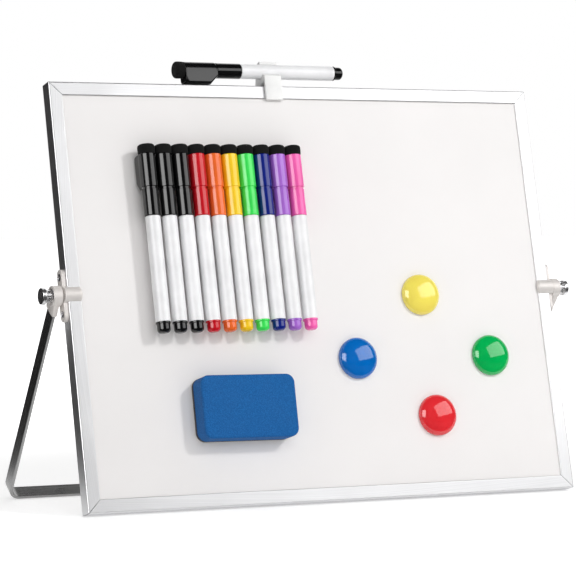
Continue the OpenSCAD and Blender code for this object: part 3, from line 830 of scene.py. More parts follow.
@dataclass(frozen=True)
class Porous(Finish):
    """Foam or felt: matte, with open cells or fibres that hold dust.

    Attributes:
        pit: its colour down in the cells, which paints shade in their hollows.
        cell: cells in each metre.
        depth: strength of the cells' relief.
        fuzz: weight of the soft sheen of standing fibres.
    """

    pit: tuple
    cell: float = 1600.0
    depth: float = 0.6
    fuzz: float = 0.15

    def sockets(self, graph: Graph, own: object) -> dict:
        """Cells darkened by painted shade in their hollows, a matte surface with a soft sheen, and the
        cells' relief.

        Args:
            graph: the material's graph.
            own: the piece's own coordinates.

        Returns:
            The values and sockets by the inputs' names.
        """
        pores = graph.group(GROUPS.pores, Vector=own, Scale=self.cell, Strength=self.depth)
        mottle = graph.group(GROUPS.mottle, Vector=own, Scale=90.0)["Mask"]
        return {
            # the pit colour is painted shade down in the cells' hollows
            "Base Color": graph.mix(pores["Mask"], linear(self.pit), linear(self.colour)),
            "Roughness": graph.span(mottle, 0.86, 0.98),
            "Sheen Weight": self.fuzz,
            "Sheen Roughness": 0.5,
            "Specular IOR Level": 0.2,
            "Normal": pores["Normal"],
        }


class Ink(Enum):
    """Colours of the markers, as they show."""

    BLACK = (0.045, 0.045, 0.05)
    RED = (0.80, 0.05, 0.12)
    ORANGE = (0.95, 0.42, 0.16)
    YELLOW = (0.985, 0.80, 0.10)
    GREEN = (0.24, 0.90, 0.36)
    BLUE = (0.035, 0.12, 0.50)
    PURPLE = (0.67, 0.42, 0.83)
    PINK = (0.98, 0.39, 0.70)


class Dome(Enum):
    """Colours of the round magnets, as they show."""

    YELLOW = (1.0, 0.91, 0.39)
    BLUE = (0.0, 0.42, 0.76)
    GREEN = (0.0, 0.72, 0.34)
    RED = (0.93, 0.18, 0.21)


def made(finish: Finish) -> object:
    """A field of the wardrobe that holds this finish's material."""
    return field(default_factory=finish.material)


def made_each(colours: type, finish: Callable) -> object:
    """A field of the wardrobe that holds a material for each colour of an Enum, by that colour."""
    return field(default_factory=lambda: {
        colour: finish(colour.name.lower(), colour.value).material() for colour in colours})


@dataclass
class Wardrobe:
    """Every material of the easel, built once."""

    enamel: object = made(Enamel("dry_wipe_enamel", (0.95, 0.94, 0.936), 0.36))
    alloy: object = made(Brushed("drawn_alloy", (0.87, 0.87, 0.875), 0.36, 0.08, 0.05, 0.2))
    strip: object = made(Brushed("brushed_strip", (0.66, 0.66, 0.66), 0.26, 0.12, 0.14, 0.4))
    lacquer: object = made(Moulded("silver_lacquer", (0.90, 0.88, 0.865), 0.46, 0.06, grain=900.0,
                                   depth=0.12, metal=0.2))
    zinc: object = made(Plated("zinc_screw", (0.80, 0.80, 0.82), 0.22))
    chrome: object = made(Plated("bright_chrome", (0.94, 0.94, 0.945), 0.24))
    washer: object = made(Plated("dark_washer", (0.45, 0.45, 0.47), 0.3))
    brass: object = made(Plated("turned_brass", (0.82, 0.68, 0.38), 0.25))
    white: object = made(Moulded("white_plastic", (0.95, 0.95, 0.955), 0.34))
    clip: object = made(Moulded("clip_plastic", (0.94, 0.94, 0.935), 0.36))
    key: object = made(Moulded("key_plastic", (0.4, 0.4, 0.42), 0.5))
    # the second colour of each porous finish is painted shade in its cells' hollows
    foam: object = made(Porous("blue_foam", (0.11, 0.41, 0.68), (0.05, 0.29, 0.53), 1500.0, 0.45, 0.05))
    felt: object = made(Porous("black_felt", (0.10, 0.10, 0.11), (0.02, 0.02, 0.02), 2600.0, 0.8, 0.3))
    pad: object = made(Porous("cap_felt", (0.07, 0.07, 0.07), (0.02, 0.02, 0.02), 3200.0, 0.6, 0.05))
    board: object = made(Porous("core_board", (0.80, 0.72, 0.58), (0.66, 0.57, 0.42), 900.0, 0.3, 0.0))
    ferrite: object = made(Moulded("ferrite", (0.22, 0.22, 0.24), 0.55, 0.1, grain=1800.0, depth=0.3))
    inks: dict = made_each(Ink, lambda word, ink: Moulded("cap_" + word, ink, 0.14, 0.04, 0.12))
    fibre: object = made(Porous("ink_fibre", (0.80, 0.80, 0.78), (0.6, 0.6, 0.58), 3000.0, 0.4))
    nibs: dict = made_each(Ink, lambda word, ink: Porous(
        "nib_" + word, ink, tuple(c * 0.6 for c in ink), 4200.0, 0.4))
    domes: dict = made_each(Dome, lambda word, dome: Moulded(
        "dome_" + word, dome, 0.10, 0.03, 0.5, 120.0, 0.05))


# ---------------------------------------------------------------- the easel's sub-assemblies


class Side(Enum):
    """The board's two sides, by the sign of the model's first axis."""

    LEFT = -1
    RIGHT = 1

    @property
    def word(self) -> str:
        """The side's name as the nodes have it."""
        return self.name.lower()


def board_datum() -> Datum:
    """Axes of the upright board: right, back and up from its middle, front face and lower edge.

    Returns:
        The board's datum.
    """
    front = np.array(joint_of("magnet_red_lift")["axis"], float)
    right = np.array([1.0, 0.0, 0.0])
    axes = np.stack([right, -front, np.cross(right, -front)])
    rough = Datum(np.zeros(3), axes)
    low = rough.span("frame_top")[0][1]
    foot = rough.span("frame_bottom")[0][2]
    return Datum(axes.T @ np.array([0.0, low, foot]), axes)


BOARD = board_datum()
RIGHT, BACK, UP = BOARD.axes
HINGE = np.array(joint_of("stand_fold")["pos_m"], float)


@dataclass
class Panel:
    """Framed double-sided board: four mitred members round two coated sheets.

    Attributes:
        edge: rounding of the members' long edges.
        lip: rounding of the lips over the sheets.
        gap: space at each mitre.
        grip: depth of the groove that holds the panel.
        step: spacing of the rings along a member.
    """

    wardrobe: Wardrobe
    edge: float = 0.7 * MM
    lip: float = 0.5 * MM
    gap: float = 0.22 * MM
    grip: float = 4.2 * MM
    step: float = 12 * MM

    def section(self) -> np.ndarray:
        """Outline of a member: depth from the front face, and distance in from its outer edge.

        Returns:
            Anticlockwise points x 2 array.
        """
        low, high = BOARD.span("frame_bottom")
        depth, face = high[1] - low[1], high[2] - low[2]
        wall = BOARD.span("writing_sheet_front")[0][1]
        floor = face - self.grip
        return fillet([
            (0, 0, self.edge), (depth, 0, self.edge), (depth, face, self.lip),
            (depth - wall, face, self.lip), (depth - wall, floor, 0), (wall, floor, 0),
            (wall, face, self.lip), (0, face, self.lip)], closed=True)

    def member(self, length: float) -> Skin:
        """A member along its third axis, its ends cut at 45 degrees.

        Each point runs from -(length / 2 - gap - v) to the same on the other side, where v is its
        distance in from the outer edge.

        Args:
            length: outer length of the member.

        Returns:
            The closed skin.
        """
        outline = self.section()
        reach = length / 2 - self.gap - outline[:, 1]
        part = np.linspace(-1.0, 1.0, int(length / self.step) + 1)[:, None]
        flat = np.broadcast_to(outline[None], (len(part),) + outline.shape)
        return capped(np.concatenate([flat, (part * reach[None])[:, :, None]], axis=2), outline, outline)

    def build(self) -> None:
        """Builds the four members and dresses the panel's nodes."""
        width = np.ptp([p[0] for p in BOARD.span("frame_top")])
        height = np.ptp([p[2] for p in BOARD.span("frame_left")])
        members = {
            "top": (UP * height, -UP, RIGHT, width),
            "bottom": (UP * 0, UP, RIGHT, width),
            "left": (UP * height / 2 - width / 2 * RIGHT, RIGHT, UP, height),
            "right": (UP * height / 2 + width / 2 * RIGHT, -RIGHT, UP, height)}
        for word, (place, inward, along, length) in members.items():
            datum = Datum(BOARD.origin + place, np.stack([BACK, inward, along]))
            node = "frame_" + word
            make_piece(node + "_profile", [datum.put(self.member(length))], [self.wardrobe.alloy],
                       "board", (node,))
        for node, material in {
            "writing_sheet_front": self.wardrobe.enamel, "writing_sheet_back": self.wardrobe.enamel,
            "core_panel": self.wardrobe.board, "corner_keys": self.wardrobe.key,
            "thread_inserts": self.wardrobe.brass}.items():
            dress(node, material)


def dress(node: str, material: object) -> None:
    """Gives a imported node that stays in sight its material.

    Args:
        node: the node's name.
        material: what it wears.
    """
    mesh = frame["nodes"][node].data
    mesh.materials.clear()
    mesh.materials.append(material)
    log.info("%s: packed mesh dressed as %s", node, material.name)


@dataclass
class HingeSide:
    """One clamp hinge: bracket on the board, hub on the stand, washer and knob between and outside.

    Heights run outward from the board's side along the hinge axis.
    """

    wardrobe: Wardrobe
    side: Side
    plate_l: float = 34 * MM
    plate_w: float = 8 * MM
    plate_t: float = 2.8 * MM
    saddle_h: float = 10.8 * MM
    saddle_reach: float = 9.6 * MM
    saddle_proud: float = 2.6 * MM
    saddle_nose: float = 1.6 * MM
    sink: float = 0.05 * MM
    seat: float = 2.6 * MM
    screw_offset: float = 11.9 * MM
    screw_head: float = 4.8 * MM
    head_dome: float = 0.55 * MM
    cross: tuple = (0.42 * MM, 1.55 * MM, 0.9 * MM)
    hub_d: float = 13.2 * MM
    dish_r: float = 4.6 * MM
    dish_depth: float = 1.4 * MM
    teeth_d: float = 7.4 * MM
    tooth_h: float = 0.4 * MM
    tooth_count: int = 32
    bore_d: float = 4.1 * MM
    bolt_r: float = 2 * MM
    washer_r: float = 4.3 * MM
    notch: float = 0.4 * MM
    soft: float = 0.45 * MM
    knob_r: float = 5.3 * MM
    knob_l: float = 2.8 * MM
    neck_r: float = 4.2 * MM
    neck_l: float = 4.6 * MM
    neck_grooves: int = 10
    groove_r: float = 0.84 * MM

    def __post_init__(self) -> None:
        """Works out the axes: back, up and outward from the hinge on the board's side."""
        out = np.array([float(self.side.value), 0.0, 0.0])
        half = max(abs(p[0]) for p in BOARD.span("frame_top"))
        self.datum = Datum(HINGE + out * half, np.stack([BACK, UP, out]))
        self.depth = BOARD.span("frame_top")[1][1]

    def teeth(self, base: float, sign: int) -> Skin:
        """Ring of radial teeth: its face is a rounded wave of the angle, its back is flat.

        Args:
            base: height of the teeth's roots.
            sign: 1 for teeth that point outward, -1 for inward.

        Returns:
            The closed skin.
        """
        turn = full_turn(self.tooth_count * 10)
        wave = np.clip(0.5 + 0.9 * np.cos(turn * self.tooth_count), 0.0, 1.0)
        tip = base + sign * self.tooth_h * wave
        root = np.full_like(turn, base - sign * self.soft)
        r0, r1 = self.teeth_d / 2, self.hub_d / 2 - self.soft * 0.6
        rings = sections(np.array([r0, r1, r1, r0]), np.stack([root, root, tip, tip]), turn)
        return hoop(rings[:, ::-1] if sign > 0 else rings)

    def saddle(self, front: bool) -> Skin:
        """The half round that reaches over the frame's face, with a nose that rounds off.

        Its section is a circle's segment standing on the face; towards the nose the section
        shrinks about the middle of its flat side by the root of 1 - t squared.

        Args:
            front: whether it lies on the front face.

        Returns:
            The closed skin.
        """
        r = self.saddle_h / 2
        rise = self.saddle_proud - r + self.sink
        half = np.arccos(-rise / r)
        a = np.linspace(-half, half, 25)
        segment = np.stack([r * np.cos(a) + rise - self.sink, r * np.sin(a)], axis=1)
        face = self.depth / 2
        if front:
            segment, face = (segment * [-1, 1])[::-1], -face
        nose = np.linspace(0.0, 0.93, 8) ** 0.8
        shrink = np.concatenate([np.sqrt(1 - nose**2)[::-1], np.ones(6)])
        ramp = -self.saddle_reach + (1 - nose[::-1]) * self.saddle_nose
        high = np.concatenate([ramp, np.linspace(ramp[-1], self.seat, 7)[1:]])
        return tube(lifted(segment[None] * shrink[:, None, None] + [face, 0.0], high))

    def bracket(self) -> list:
        """Side plate, toothed seat and both saddles.

        Returns:
            The closed skins.
        """
        turn = np.linspace(-np.pi / 2, np.pi / 2, 17)
        cap = self.plate_w / 2 * np.stack([np.sin(turn), np.cos(turn)], axis=1)
        shift = [0.0, (self.plate_l - self.plate_w) / 2]
        outline = np.concatenate([cap + shift, -cap - shift])[::-1]
        plate = prism(outline, 0.0, self.plate_t, 0.5 * MM, 4)
        seat = revolve(fillet([
            (0, -self.soft, 0), (self.hub_d / 2, -self.soft, 0), (self.hub_d / 2, self.seat, 0.3 * MM),
            (0, self.seat, 0)]), 72)
        return [plate, seat, self.teeth(self.seat, 1), self.saddle(True), self.saddle(False)]

    def screws(self) -> list:
        """Two raised countersunk heads with a cross recess.

        The head's height is a shallow dome less the recess, which is deep where the point lies
        near either arm of the cross and shallow towards the arms' ends.

        Returns:
            The closed skins.
        """
        r = self.screw_head / 2
        radius = np.concatenate([np.linspace(0.06, 0.94, 20), [0.975, 1.0]]) * r
        turn = full_turn(72)
        x, y = radius[:, None] * np.cos(turn), radius[:, None] * np.sin(turn)
        dome = self.head_dome * (1 - (radius / r) ** 2)[:, None]
        arm, arm_l, deep = self.cross
        near, far = np.sort(np.abs(np.stack([x, y])), axis=0)
        cross = np.clip((arm - near) / (0.15 * MM), 0, 1) * np.clip((arm_l - far) / (0.3 * MM), 0, 1)
        high = self.plate_t + 0.04 * MM + dome - cross * deep
        face = np.stack([x, y, high], axis=-1)[::-1]
        rim = turned(np.array([r * 0.75]), np.array([self.plate_t - 0.6 * MM]), turn)
        head = np.concatenate([rim, face])
        return [tube(head + [0.0, sign * self.screw_offset, 0.0]) for sign in (-1, 1)]

    def hub(self) -> list:
        """Barrel with a dished outer face, and the teeth on its inner face.

        Returns:
            The closed skins.
        """
        low, high = self.hub_span()
        root, end = low[2] + self.tooth_h, high[2]
        r, bore, floor = self.hub_d / 2, self.bore_d / 2, end - self.dish_depth
        mouth = self.dish_r + self.dish_depth / 2
        barrel = lathe_ring(fillet([
            (bore, root - self.soft / 2, 0), (r - 0.3 * MM, root - self.soft / 2, 0), (r, root, 0.25 * MM),
            (r, end, 0.9 * MM), (mouth, end, 0.35 * MM), (self.dish_r, floor, 0.3 * MM),
            (bore, floor, 0)], closed=True), 96)
        return [barrel, self.teeth(root, -1)]

    def hub_span(self) -> tuple:
        """Lowest and highest corner of the hub's node along the hinge's axes."""
        return self.datum.span("leg_hub_" + self.side.word)

    def knob(self) -> Skin:
        """Bolt, grooved neck and flat head, turned in one piece.

        The neck's radius dips by a half circle's depth at each of the grooves round it.

        Returns:
            The closed skin.
        """
        low, high = self.datum.span("clamp_knob_" + self.side.word)
        end, head, neck = high[2], self.knob_r, self.neck_r
        head_in = end - self.knob_l
        neck_in = head_in - self.neck_l
        line = refine(fillet([
            (0, low[2], 0), (self.bolt_r, low[2], 0.3 * MM), (self.bolt_r, neck_in, 0),
            (neck, neck_in, 0.3 * MM), (neck, head_in, 0.25 * MM), (head, head_in, 0.5 * MM),
            (head, end, 0.45 * MM), (0, end, 0)]), 0.5 * MM)
        turn = full_turn(self.neck_grooves * 16)
        arc = (turn * self.neck_grooves / (2 * np.pi)) % 1.0 - 0.5
        across = arc * 2 * np.pi * neck / self.neck_grooves / self.groove_r
        dip = self.groove_r * np.sqrt(np.clip(1 - across**2, 0, 1))
        radius, height = line[1:-1].T
        grooved = (radius > 1.5 * self.bolt_r) & (height < head_in - 0.5 * MM) & (height > neck_in - 1e-6)
        radius = radius[:, None] - dip[None, :] * grooved[:, None]
        return tube(turned(radius, height, turn), [0, 0, line[0, 1]], [0, 0, line[-1, 1]])

    def washer(self) -> Skin:
        """Lock washer whose rim is notched: the outer radius dips at each notch.

        Returns:
            The closed skin.
        """
        low, high = self.datum.span("lock_washer_" + self.side.word)
        count = self.neck_grooves + 2
        turn = full_turn(count * 12)
        outer = self.washer_r - np.clip(np.cos(turn * count) * 2.4 - 1.4, 0, 1) * self.notch
        bore = np.full_like(turn, self.bore_d / 2)
        edge = 0.15 * MM
        radii = np.stack([bore, outer - edge, outer, outer, outer - edge, bore])
        heights = np.array([low[2], low[2], low[2] + edge, high[2] - edge, high[2], high[2]])
        return hoop(sections(radii, heights, turn)[:, ::-1])

    def build(self) -> list:
        """Builds this side's pieces; the screws come back, since both sides share one node.

        Returns:
            The skins of this side's two screws.
        """
        word, put = self.side.word, self.datum.put
        make_piece("bracket_" + word, [put(s) for s in self.bracket()], [self.wardrobe.lacquer],
                   "board", ("hinge_bracket_" + word,))
        make_piece("knob_" + word, [put(self.knob())], [self.wardrobe.chrome], "knob_" + word,
                   ("clamp_knob_" + word,))
        make_piece("washer_" + word, [put(self.washer())], [self.wardrobe.washer], "washer_" + word,
                   ("lock_washer_" + word,))
        return [put(s) for s in self.screws()]


@dataclass
class Stand:
    """Folding stand: one steel strip bent into a U, with a hub moulded on each end."""

    wardrobe: Wardrobe
    hinges: list
    width: float = 10.5 * MM
    thick: float = 2 * MM
    bend: float = 8 * MM
    start: float = 5 * MM
    edge: float = 0.35 * MM
    socket_root: float = 5.4 * MM
    socket_l: float = 12 * MM
    socket_wall: float = 0.9 * MM
    socket_step: float = 0.4 * MM

    def __post_init__(self) -> None:
        """Works out the stand's axes: right, across the strip, and up the legs to the hinge."""
        points = node_points("stand_leg")
        reach = np.linalg.norm((points - HINGE)[:, 1:], axis=1)
        far = points[reach > reach.max() - 0.05 * MM]
        foot = (far.min(axis=0) + far.max(axis=0)) / 2
        up = (HINGE - foot) * [0, 1, 1]
        up /= np.linalg.norm(up)
        right = np.array([1.0, 0.0, 0.0])
        self.datum = Datum(HINGE, np.stack([right, np.cross(up, right), up]))

    def strip(self) -> Skin:
        """The strip: a flat section with rounded edges carried down a leg, along the foot and up.

        The path is a rounded U in the stand's plane, and the section's thickness lies along the
        path's normal in that plane.

        Returns:
            The closed skin.
        """
        low, high = self.datum.span("stand_leg")
        side, foot = high[0] - self.thick / 2, low[2] + self.thick / 2
        path = fillet([(-side, -self.start, 0), (-side, foot, self.bend - self.thick / 2),
                       (side, foot, self.bend - self.thick / 2), (side, -self.start, 0)], steps=12)
        path = refine(path, 6 * MM)
        along = np.gradient(path, axis=0)
        along /= np.linalg.norm(along, axis=1, keepdims=True)
        normal = np.stack([-along[:, 1], along[:, 0]], axis=1)
        section = oblong(self.thick, self.width, self.edge, 3)
        flat = path[:, None, :] + normal[:, None, :] * section[None, :, :1]
        across = np.broadcast_to(section[None, :, 1], flat.shape[:2])
        rings = np.stack([flat[..., 0], across, flat[..., 1]], axis=-1)
        return tube(rings[::-1])

    def socket(self, hinge: HingeSide) -> Skin:
        """Tapered socket: a rounded oblong whose outer face closes in from the hub to the strip.

        Args:
            hinge: the side that it belongs to.

        Returns:
            The closed skin in the model's frame.
        """
        offset = self.datum.span("stand_leg")[1][0] - abs(hinge.datum.origin[0])
        near = offset - self.thick - self.socket_wall
        wide, narrow = hinge.hub_span()[1][2] - self.socket_step, offset + self.socket_wall
        mouth = self.socket_l - 0.8 * MM
        drop = np.concatenate([np.linspace(0, self.socket_root, 3),
                               np.linspace(self.socket_root, mouth, 5)[1:],
                               self.socket_l - np.array([0.3, 0.08, 0.0]) * MM])
        part = np.clip((drop - self.socket_root) / (self.socket_l - self.socket_root), 0, 1)
        far = wide + (narrow - wide) * part * (0.65 + 0.35 * part)
        tuck = np.array([0, 0, 0, 0, 0, 0, 0, 0.08, 0.25, 0.5]) * MM
        half = self.width / 2 + self.socket_wall
        unit = oblong(2.0, 2.0, 0.34, 6)
        x = (near + far)[:, None] / 2 + unit[None, :, 0] * ((far - near) / 2 - tuck)[:, None]
        y = unit[None, :, 1] * (half - tuck)[:, None]
        z = np.broadcast_to(-drop[:, None], x.shape)
        rings = np.stack([x, y, z], axis=-1)[::-1]
        out = hinge.side.value * self.datum.axes[0]
        origin = HINGE + out * abs(hinge.datum.origin[0])
        return Datum(origin, np.stack([out, self.datum.axes[1], self.datum.axes[2]])).put(tube(rings))

    def build(self) -> None:
        """Builds the strip and both hubs with their sockets."""
        make_piece("stand_strip", [self.datum.put(self.strip())], [self.wardrobe.strip], "stand",
                   ("stand_leg",))
        for hinge in self.hinges:
            word = hinge.side.word
            skins = [hinge.datum.put(s) for s in hinge.hub()] + [self.socket(hinge)]
            make_piece("hub_" + word, skins, [self.wardrobe.lacquer], "stand",
                       ("leg_hub_" + word,))


@dataclass
class PenClip:
    """Moulded clip: straps over the frame, a sloping brace and an open ring for a marker."""

    wardrobe: Wardrobe
    strap: float = 2.1 * MM
    ring_wall: float = 2 * MM
    ring_gap: float = 0.15 * MM
    slide_gap: float = 0.2 * MM
    lower_lip: float = math.radians(58)
    upper_lip: float = math.radians(10)
    back_strap: float = 9 * MM
    soft: float = 0.5 * MM
    edge: float = 0.35 * MM

    def arc(self, axis: np.ndarray, radius: float, turn: np.ndarray) -> list:
        """Plain corners for fillet() along an arc about the held marker's axis."""
        points = axis + radius * np.stack([np.cos(turn), np.sin(turn)], axis=1)
        return [(x, y, 0.0) for x, y in points]

    def outline(self) -> np.ndarray:
        """Side view of the clip, in distances back and up from the board's lower front edge.

        The ring's two walls are arcs about the held marker's axis between the two lips, and the
        outer one ends where it meets the brace's upper line.

        Returns:
            Anticlockwise points x 2 array.
        """
        low, high = BOARD.span("pen_clip")
        pen_low, pen_high = BOARD.span("clip_marker_barrel")
        axis = ((pen_low + pen_high) / 2)[1:]
        inner = (pen_high - pen_low)[1] / 2 + self.ring_gap
        outer = inner + self.ring_wall
        top = BOARD.span("frame_top")[1][2]
        front = -self.slide_gap - self.strap
        back = high[1]
        rest = top + self.slide_gap
        brace = axis[1] - outer
        slope = (rest - brace) / (back - front)
        start, stop = -np.pi / 2 - self.lower_lip, np.pi / 2 + self.upper_lip
        lean = math.atan2(slope, 1.0)
        line_gap = (brace + self.strap + slope * (axis[0] - front) - axis[1]) * math.cos(lean)
        meets = lean - math.acos(-line_gap / outer) + np.pi / 2
        front_top = axis[1] - (axis[0] - front) / math.cos(start) * math.sin(start)
        under = brace + self.strap * (rest - brace) / (back - self.strap - front)
        soft = self.soft
        corners = (
            [(front, low[2], soft), (front, front_top, soft)]
            + self.arc(axis, inner, np.linspace(start, stop, 49))
            + self.arc(axis, outer, np.linspace(stop, meets, 40))
            + [(back, rest + self.strap, soft), (back, top - self.back_strap, soft),
               (back - self.strap, top - self.back_strap, soft), (back - self.strap, rest, 0.0),
               (front + self.strap, under, 0.0), (front + self.strap, low[2], soft)])
        return fillet(corners, closed=True)[::-1]

    def build(self) -> None:
        """Builds the clip."""
        low, high = BOARD.span("pen_clip")
        middle = BOARD.origin + RIGHT * (low[0] + high[0]) / 2
        half = (high[0] - low[0]) / 2
        skin = prism(self.outline(), -half, half, self.edge)
        make_piece("clip_body", [Datum(middle, np.stack([BACK, UP, RIGHT])).put(skin)],
                   [self.wardrobe.clip], "clip", ("pen_clip",))


@dataclass
class Marker:
    """Capped marker: white barrel, coloured end plug, cap with a magnet lug and a felt pad.

    Heights run from the plug's end towards the cap, and the lug stands towards the second axis.
    """

    wardrobe: Wardrobe
    name: str
    ink: Ink
    barrel_r: float = 4.9 * MM
    bore_r: float = 3.9 * MM
    neck_r: float = 4 * MM
    neck_l: float = 11.5 * MM
    cone_l: float = 6 * MM
    bead_up: float = 3.4 * MM
    bead_l: float = 1 * MM
    bead: float = 0.16 * MM
    nib_r: float = 2 * MM
    nib_l: float = 5.5 * MM
    spigot_l: float = 5 * MM
    floor_t: float = 2 * MM
    reservoir_r: float = 3.6 * MM
    press_gap: float = 0.05 * MM
    plug_r: float = 4.3 * MM
    plug_l: float = 7.3 * MM
    flange: float = 1.3 * MM
    barrel_l: float = 69 * MM
    low_r: float = 5.15 * MM
    low_l: float = 19.2 * MM
    groove: float = 1.6 * MM
    groove_depth: float = 0.5 * MM
    top_r: float = 5.45 * MM
    top_l: float = 21.8 * MM
    cavity_r: float = 4.3 * MM
    nib_room: float = 3 * MM
    pad_r: float = 5.65 * MM
    pad_swell: float = 0.15 * MM
    lug_w: float = 10.6 * MM
    lug_l: float = 23 * MM
    lug_h: float = 4.8 * MM
    lug_round: float = 1.8 * MM
    bar: tuple = (6.4 * MM, 15 * MM, 2 * MM)
    edge: float = 0.35 * MM
    rim_gap: float = 0.1 * MM

    def __post_init__(self) -> None:
        """Works out the heights, and finds the marker's axes on the board or in the clip."""
        self.shoulder = self.plug_l + self.barrel_l
        self.floor = self.shoulder - self.floor_t
        self.cone_end = self.shoulder + self.neck_l + self.cone_l
        self.tip = self.cone_end + self.nib_l
        self.rim = self.shoulder + self.rim_gap
        self.groove_z = self.rim + self.low_l
        self.end = self.groove_z + self.top_l
        low, high = BOARD.span(self.name + "_barrel")
        middle = (low + high) / 2
        if self.name.startswith("clip"):
            start = BOARD.span(self.name + "_core")[1][0]
            axes = np.stack([BACK, -UP, -RIGHT])
            place = np.array([start, middle[1], middle[2]])
        else:
            start = BOARD.span(self.name + "_core")[0][2]
            axes = BOARD.axes
            place = np.array([middle[0], middle[1], start])
        self.datum = Datum(BOARD.to_model(place), axes)

    def barrel(self) -> Skin:
        """White tube with its shoulder, the neck with its snap bead, and the nib's cone.

        Returns:
            The closed skin.
        """
        neck, nib_bore = self.neck_r, self.nib_r + self.press_gap
        bead = self.shoulder + self.bead_up
        line = fillet([
            (self.bore_r, self.plug_l, 0), (self.barrel_r, self.plug_l, 0.2 * MM),
            (self.barrel_r, self.shoulder, self.edge), (neck, self.shoulder, 0.2 * MM),
            (neck, bead - self.bead_l / 2, 0), (neck + self.bead, bead, 0.3 * MM),
            (neck, bead + self.bead_l / 2, 0), (neck, self.shoulder + self.neck_l, 0.5 * MM),
            (self.nib_r + 0.6 * MM, self.cone_end, 0.25 * MM), (nib_bore, self.cone_end, 0),
            (nib_bore, self.floor, 0), (self.bore_r, self.floor, 0)], closed=True)
        return lathe_ring(line, 56)

    def core(self) -> list:
        """End plug with its flange, ink reservoir, and the felt nib with its rounded tip.

        Returns:
            The skins of the plug, the reservoir and the nib.
        """
        flange, spigot = self.plug_l - self.flange, self.plug_l + self.spigot_l
        inner, floor, tip = self.bore_r - self.press_gap, self.floor, self.tip
        plug = revolve(fillet([
            (0, 0, 0), (self.plug_r, 0, 2.4 * MM), (self.plug_r, flange, 0.15 * MM),
            (self.barrel_r, flange, 0.3 * MM), (self.barrel_r, self.plug_l, 0.15 * MM),
            (inner, self.plug_l, 0), (inner, spigot, 0.4 * MM), (0, spigot, 0)], steps=6), 56)
        reservoir = revolve(fillet([
            (0, spigot, 0), (self.reservoir_r, spigot, 0.3 * MM), (self.reservoir_r, floor, 0.3 * MM),
            (0, floor, 0)]), 32)
        nib = revolve(fillet([
            (0, floor, 0), (self.nib_r, floor, 0), (self.nib_r, tip - 1.6 * MM, 1.2 * MM),
            (1.1 * MM, tip, 0.6 * MM), (0, tip, 0)]), 40)
        reservoir.finish, nib.finish = 1, 2
        return [plug, reservoir, nib]

    def cap(self) -> Skin:
        """Cap with its cavity, the groove between its two parts, and the magnet's lug.

        The outer radius is the larger of the cap's own and the lug's, and the lug's is that of a
        rounded rectangle seen from the axis: (|sin a / w|^8 + (cos a / h)^8)^(-1/8), where h grows
        at 45 degrees along the slope and falls by a quarter circle at the cap's end.

        Returns:
            The closed skin, cavity included.
        """
        face = self.top_r + self.lug_h
        start = self.end - self.lug_l
        edge = self.edge
        low, groove, top = self.low_r, self.low_r - self.groove_depth, self.top_r
        cut = self.groove_z - self.groove
        outer = fillet([
            (low - edge, self.rim, 0), (low, self.rim + edge, edge), (low, cut, 0.12 * MM),
            (groove, cut + 0.08 * MM, 0.1 * MM), (groove, self.groove_z - 0.08 * MM, 0.1 * MM),
            (top, self.groove_z, 0.15 * MM), (top, self.end - edge, 0)])
        step = 0.6 * MM
        slope = np.linspace(start - step, start + face - low + step, 22)
        round_z = self.end - edge - self.lug_round
        fall = np.linspace(round_z, self.end - edge, 9)
        height = np.unique(np.concatenate([outer[:, 1], slope, fall]).round(7))
        radius = np.interp(height, outer[:, 1], outer[:, 0])
        spread = np.linspace(-np.pi, np.pi, 2001)
        density = 1 + 3 * np.exp(-(((np.abs(spread) - 0.5) / 0.35) ** 2))
        total = np.cumsum(density)
        turn = np.interp(np.arange(96) / 96 * (total[-1] - total[0]) + total[0], total, spread)
        part = np.clip((height - round_z) / self.lug_round, 0, 1)
        crest = face - self.lug_round * (1 - np.sqrt(1 - part**2))
        reach = np.clip(low - edge + (height - start), 1e-4, crest)[:, None]
        across = np.abs(np.sin(turn))[None] / (self.lug_w / 2)
        along = np.clip(np.cos(turn), 0, None)[None] / reach
        lug = (across**8 + along**8 + 1e-9) ** (-1 / 8)
        lug = np.where((np.cos(turn) > 0)[None] & (height > start)[:, None], lug, 0.0)
        body = np.broadcast_to(radius[:, None], lug.shape)
        blend = 0.25 * MM
        gap = (lug - body) / blend
        smooth = np.maximum(lug, body) + blend * 0.5 * np.exp(-np.abs(gap) * 1.5) * (lug > 0)
        walls = turned(smooth, height, turn + np.pi / 2)
        rim = outline_normals(walls[-1, :, :2])
        quarter = np.linspace(0, np.pi / 2, 5)[1:]
        crown = walls[-1, None, :, :2] - edge * (1 - np.cos(quarter))[:, None, None] * rim[None]
        crown = lifted(crown, self.end - edge + edge * np.sin(quarter))
        deep = self.tip + self.nib_room
        cavity = np.array([
            [self.cavity_r * 0.6, deep], [self.cavity_r, deep - 1.2 * MM],
            [self.cavity_r, self.rim + edge], [self.cavity_r + 0.15 * MM, self.rim]])
        hollow = turned(cavity[:, 0], cavity[:, 1], turn + np.pi / 2)
        return tube(np.concatenate([hollow, walls, crown]), [0, 0, deep], [0, 0, self.end])

    def pad(self) -> Skin:
        """Felt pad on the cap's end: its side swells a little between its rounded edges.

        Returns:
            The closed skin.
        """
        base = self.end + self.press_gap
        far = self.datum.span(self.name + "_cap")[1][2]
        line = refine(fillet([
            (0, base, 0), (self.pad_r - 0.2 * MM, base, 0.4 * MM), (self.pad_r - 0.1 * MM, far, 1.6 * MM),
            (0, far, 0)], steps=6), 1 * MM)
        swell = self.pad_swell * np.sin(np.pi * np.clip((line[:, 1] - base) / (far - base), 0, 1))
        line[:, 0] += swell * (line[:, 0] > self.pad_r / 2)
        return revolve(line, 56)

